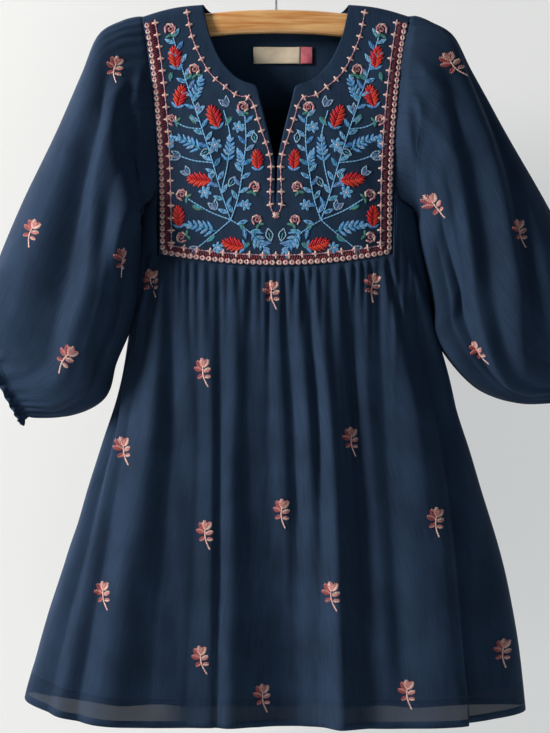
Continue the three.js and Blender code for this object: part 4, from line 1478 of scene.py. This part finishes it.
def sleeve_sprigs(side, name):
    def form(angle, down):
        return sleeve_form(side, angle, down)

    def surface(angle, down):
        return sleeve_surface(side, angle, np.clip(down, 0, FRILL_RING))

    def place(points):
        angle, down = points[:, 0], points[:, 1]
        at = surface(angle, down)
        away = at - sleeve_middle(side, angle, down)
        return at, outward_normal(surface, angle, down, 0.01, 0.02, away)

    stitches = []
    for face, start in (("front", 0), ("back", np.pi)):
        tries = np.meshgrid(np.linspace(start + 0.06, start + np.pi - 0.06, 90), np.linspace(0.5, 9.5, 120))
        laid = laid_sprigs(SLEEVE_SPRIGS[side, face])
        ends = np.array([one[:4] for one in laid]).reshape(-1, 2)
        values = np.stack(ring_values(form, tries, ends[:, 0], ends[:, 1]), -1).reshape(-1, 4)
        stitches += [(*value, *one[4:]) for value, one in zip(values, laid)]
    return sew(name, stitches, place)


# Making the pieces

LABEL_TOP = -95.7
LABEL_BOTTOM = -111.4
LABEL_IN_FRONT = 1.7
LABEL_BELLY = 0.8
TAPE = 0.7
# Name, node, right and left end, material and slot of the label and its tab.
LABEL_STRIPS = (
    ("neck_label_tape", "neck_label", -21.5, 23.4, LABEL_TAPE, "label_tape"),
    ("label_tab_tape", "label_tab", 23.9, 34.6, TAB_TAPE, "tab_tape"),
)


def make_yokes():
    halves = []
    for side in (-1, 1):
        points = front_yoke_grid(side)
        uv = points[..., [0, 2]] * MM
        halves.append(cloth_mesh("front_yoke_half", points, uv, OUTWARD["front"]))
    front = place_piece("front_yoke_cloth", joined("front_yoke_cloth", halves), YOKE_VOILE, CLOTH)
    points = back_yoke_grid()
    back_mesh = cloth_mesh("back_yoke_cloth", points, points[..., [0, 2]] * MM, OUTWARD["back"])
    back = place_piece("back_yoke_cloth", back_mesh, YOKE_VOILE, CLOTH)
    stitches = sew("yoke_embroidery", yoke_drawing(), on_cloth(front_yoke_surface, "front"))
    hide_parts("front_yoke")
    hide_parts("back_yoke")
    return front, back


def make_skirts(front_yoke, back_yoke):
    for face, yoke in (("front", front_yoke), ("back", back_yoke)):
        points = skirt_grid(face)
        name = f"{face}_skirt_cloth"
        mesh = cloth_mesh(name, points, cloth_uv(points, False), OUTWARD[face])
        skirt = place_piece(name, mesh, NAVY_SKIRT, CLOTH)
        stitches = skirt_sprigs(face)
        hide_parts(f"{face}_skirt")
        points = lining_grid(face)
        name = f"lining_{face}_cloth"
        mesh = cloth_mesh(name, points, cloth_uv(points, False), OUTWARD[face])
        lining = place_piece(name, mesh, LINING, CLOTH)
        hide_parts(f"lining_{face}")


def make_sleeves():
    for side, word in ((-1, "right"), (1, "left")):
        points = sleeve_grid(side)
        middle = points.mean(1, keepdims=True)
        name = f"sleeve_{word}_cloth"
        mesh = cloth_mesh(name, points, cloth_uv(points, True), points - middle, closed=True)
        sleeve = place_piece(name, mesh, NAVY_VOILE, CLOTH)
        stitches = sleeve_sprigs(side, f"sleeve_{word}_sprigs")
        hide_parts(f"sleeve_{word}")


def make_label():
    for name, node, low_x, high_x, tape, slot in LABEL_STRIPS:
        x = np.linspace(low_x, high_x, 25)[None]
        z = np.linspace(LABEL_BOTTOM, LABEL_TOP, 11)[:, None]
        x, z = np.broadcast_arrays(x, z)
        points = back_yoke_surface(x, z)
        share = (x - low_x) / (high_x - low_x)
        belly = np.sin(np.pi * share) * ease(LABEL_TOP, LABEL_BOTTOM, z)
        points[..., 1] -= LABEL_IN_FRONT + LABEL_BELLY * belly
        mesh = cloth_mesh(name, points, points[..., [0, 2]] * MM, OUTWARD["front"])
        strip = place_piece(name, mesh, tape, TAPE)
        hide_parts(node)


def finish_hanger():
    for node, material in (("hanger_bar", varnished_beech("varnished_beech_turned")),
                           ("hanger_hook", plated_steel("plated_steel_wire_drawn"))):
        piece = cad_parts[node]
        piece.data.materials.clear()
        piece.data.materials.append(material)


# Camera, light and surroundings

PHOTO_HEIGHT = 733
PIXEL = 0.95
SENSOR = 36
CAMERA_DISTANCE = 2200
CAMERA_AT = (-0.95, -CAMERA_DISTANCE, -400.7)
WALL_Y = 170
WALL_HALF = 3000
WALL_TOP = 1500
FLOOR_Z = -1250
FLOOR_HALF = 4000
# Name, place and size in metres, watts and colour of each lamp, all turned to the dress's middle.
LAMPS = (
    ("soft window light", (-1.85, -0.75, 0.5), 0.65, 66, "fff8f0"),
    ("weak fill", (1.8, -2.4, 0.1), 2.0, 5.5, "cfeaf4"),
    ("light on the back", (-1.6, 1.5, 0.7), 0.8, 27, "ffffff"),
)
DRESS_MIDDLE = (0, 0, -0.4)


def make_camera():
    camera = bpy.data.cameras.new("camera")
    camera.sensor_fit = "VERTICAL"
    camera.sensor_height = SENSOR
    camera.lens = SENSOR * CAMERA_DISTANCE / (PHOTO_HEIGHT * PIXEL)
    viewer = put("camera", camera)
    viewer.location = Vector(CAMERA_AT) * MM
    viewer.rotation_euler = (math.pi / 2, 0, 0)
    bpy.context.scene.camera = viewer


def area_light(name, at, size, watts, colour):
    lamp = bpy.data.lights.new(name, "AREA")
    lamp.shape = "DISK"
    lamp.size = size
    lamp.energy = watts
    lamp.color = linear(colour)[:3]
    holder = put(name, lamp)
    holder.location = at
    holder.rotation_euler = (Vector(DRESS_MIDDLE) - Vector(at)).to_track_quat("-Z", "Y").to_euler()


def make_light():
    for lamp in LAMPS:
        area_light(*lamp)
    world = bpy.data.worlds.new("pale room")
    world.use_nodes = True
    tree = world.node_tree
    tree.nodes.clear()
    seen = add(tree, "ShaderNodeLightPath").outputs["Is Camera Ray"]
    dim = add(tree, "ShaderNodeBackground", {"Color": linear("c8e6ee"), "Strength": 0.075})
    pale = add(tree, "ShaderNodeBackground", {"Color": linear("d3d6d7"), "Strength": 1.0})
    room = add(tree, "ShaderNodeMixShader", {0: seen, 1: dim.outputs[0], 2: pale.outputs[0]})
    add(tree, "ShaderNodeOutputWorld", {"Surface": room.outputs[0]})
    bpy.context.scene.world = world
    bpy.context.scene.view_settings.view_transform = "Standard"


def stage_plane(name, corners, material):
    mesh = bpy.data.meshes.new(name)
    mesh.from_pydata([Vector(corner) * MM for corner in corners], [], [(0, 1, 2, 3)])
    mesh.materials.append(material)
    plane = put(name, mesh)


def make_stage():
    wall = painted_wall("matt_painted_wall", "abacac", 1.2)
    floor = painted_wall("matt_pale_floor", "cfd1d1", 0.12)
    wall_ends = ((-WALL_HALF, FLOOR_Z), (WALL_HALF, FLOOR_Z), (WALL_HALF, WALL_TOP), (-WALL_HALF, WALL_TOP))
    stage_plane("wall", [(x, WALL_Y, z) for x, z in wall_ends], wall)
    floor_signs = ((-1, -1), (1, -1), (1, 1), (-1, 1))
    stage_plane("floor", [(x * FLOOR_HALF, y * FLOOR_HALF, FLOOR_Z) for x, y in floor_signs], floor)


make_camera()
make_light()
make_stage()
front_yoke, back_yoke = make_yokes()
make_skirts(front_yoke, back_yoke)
make_sleeves()
make_label()
finish_hanger()
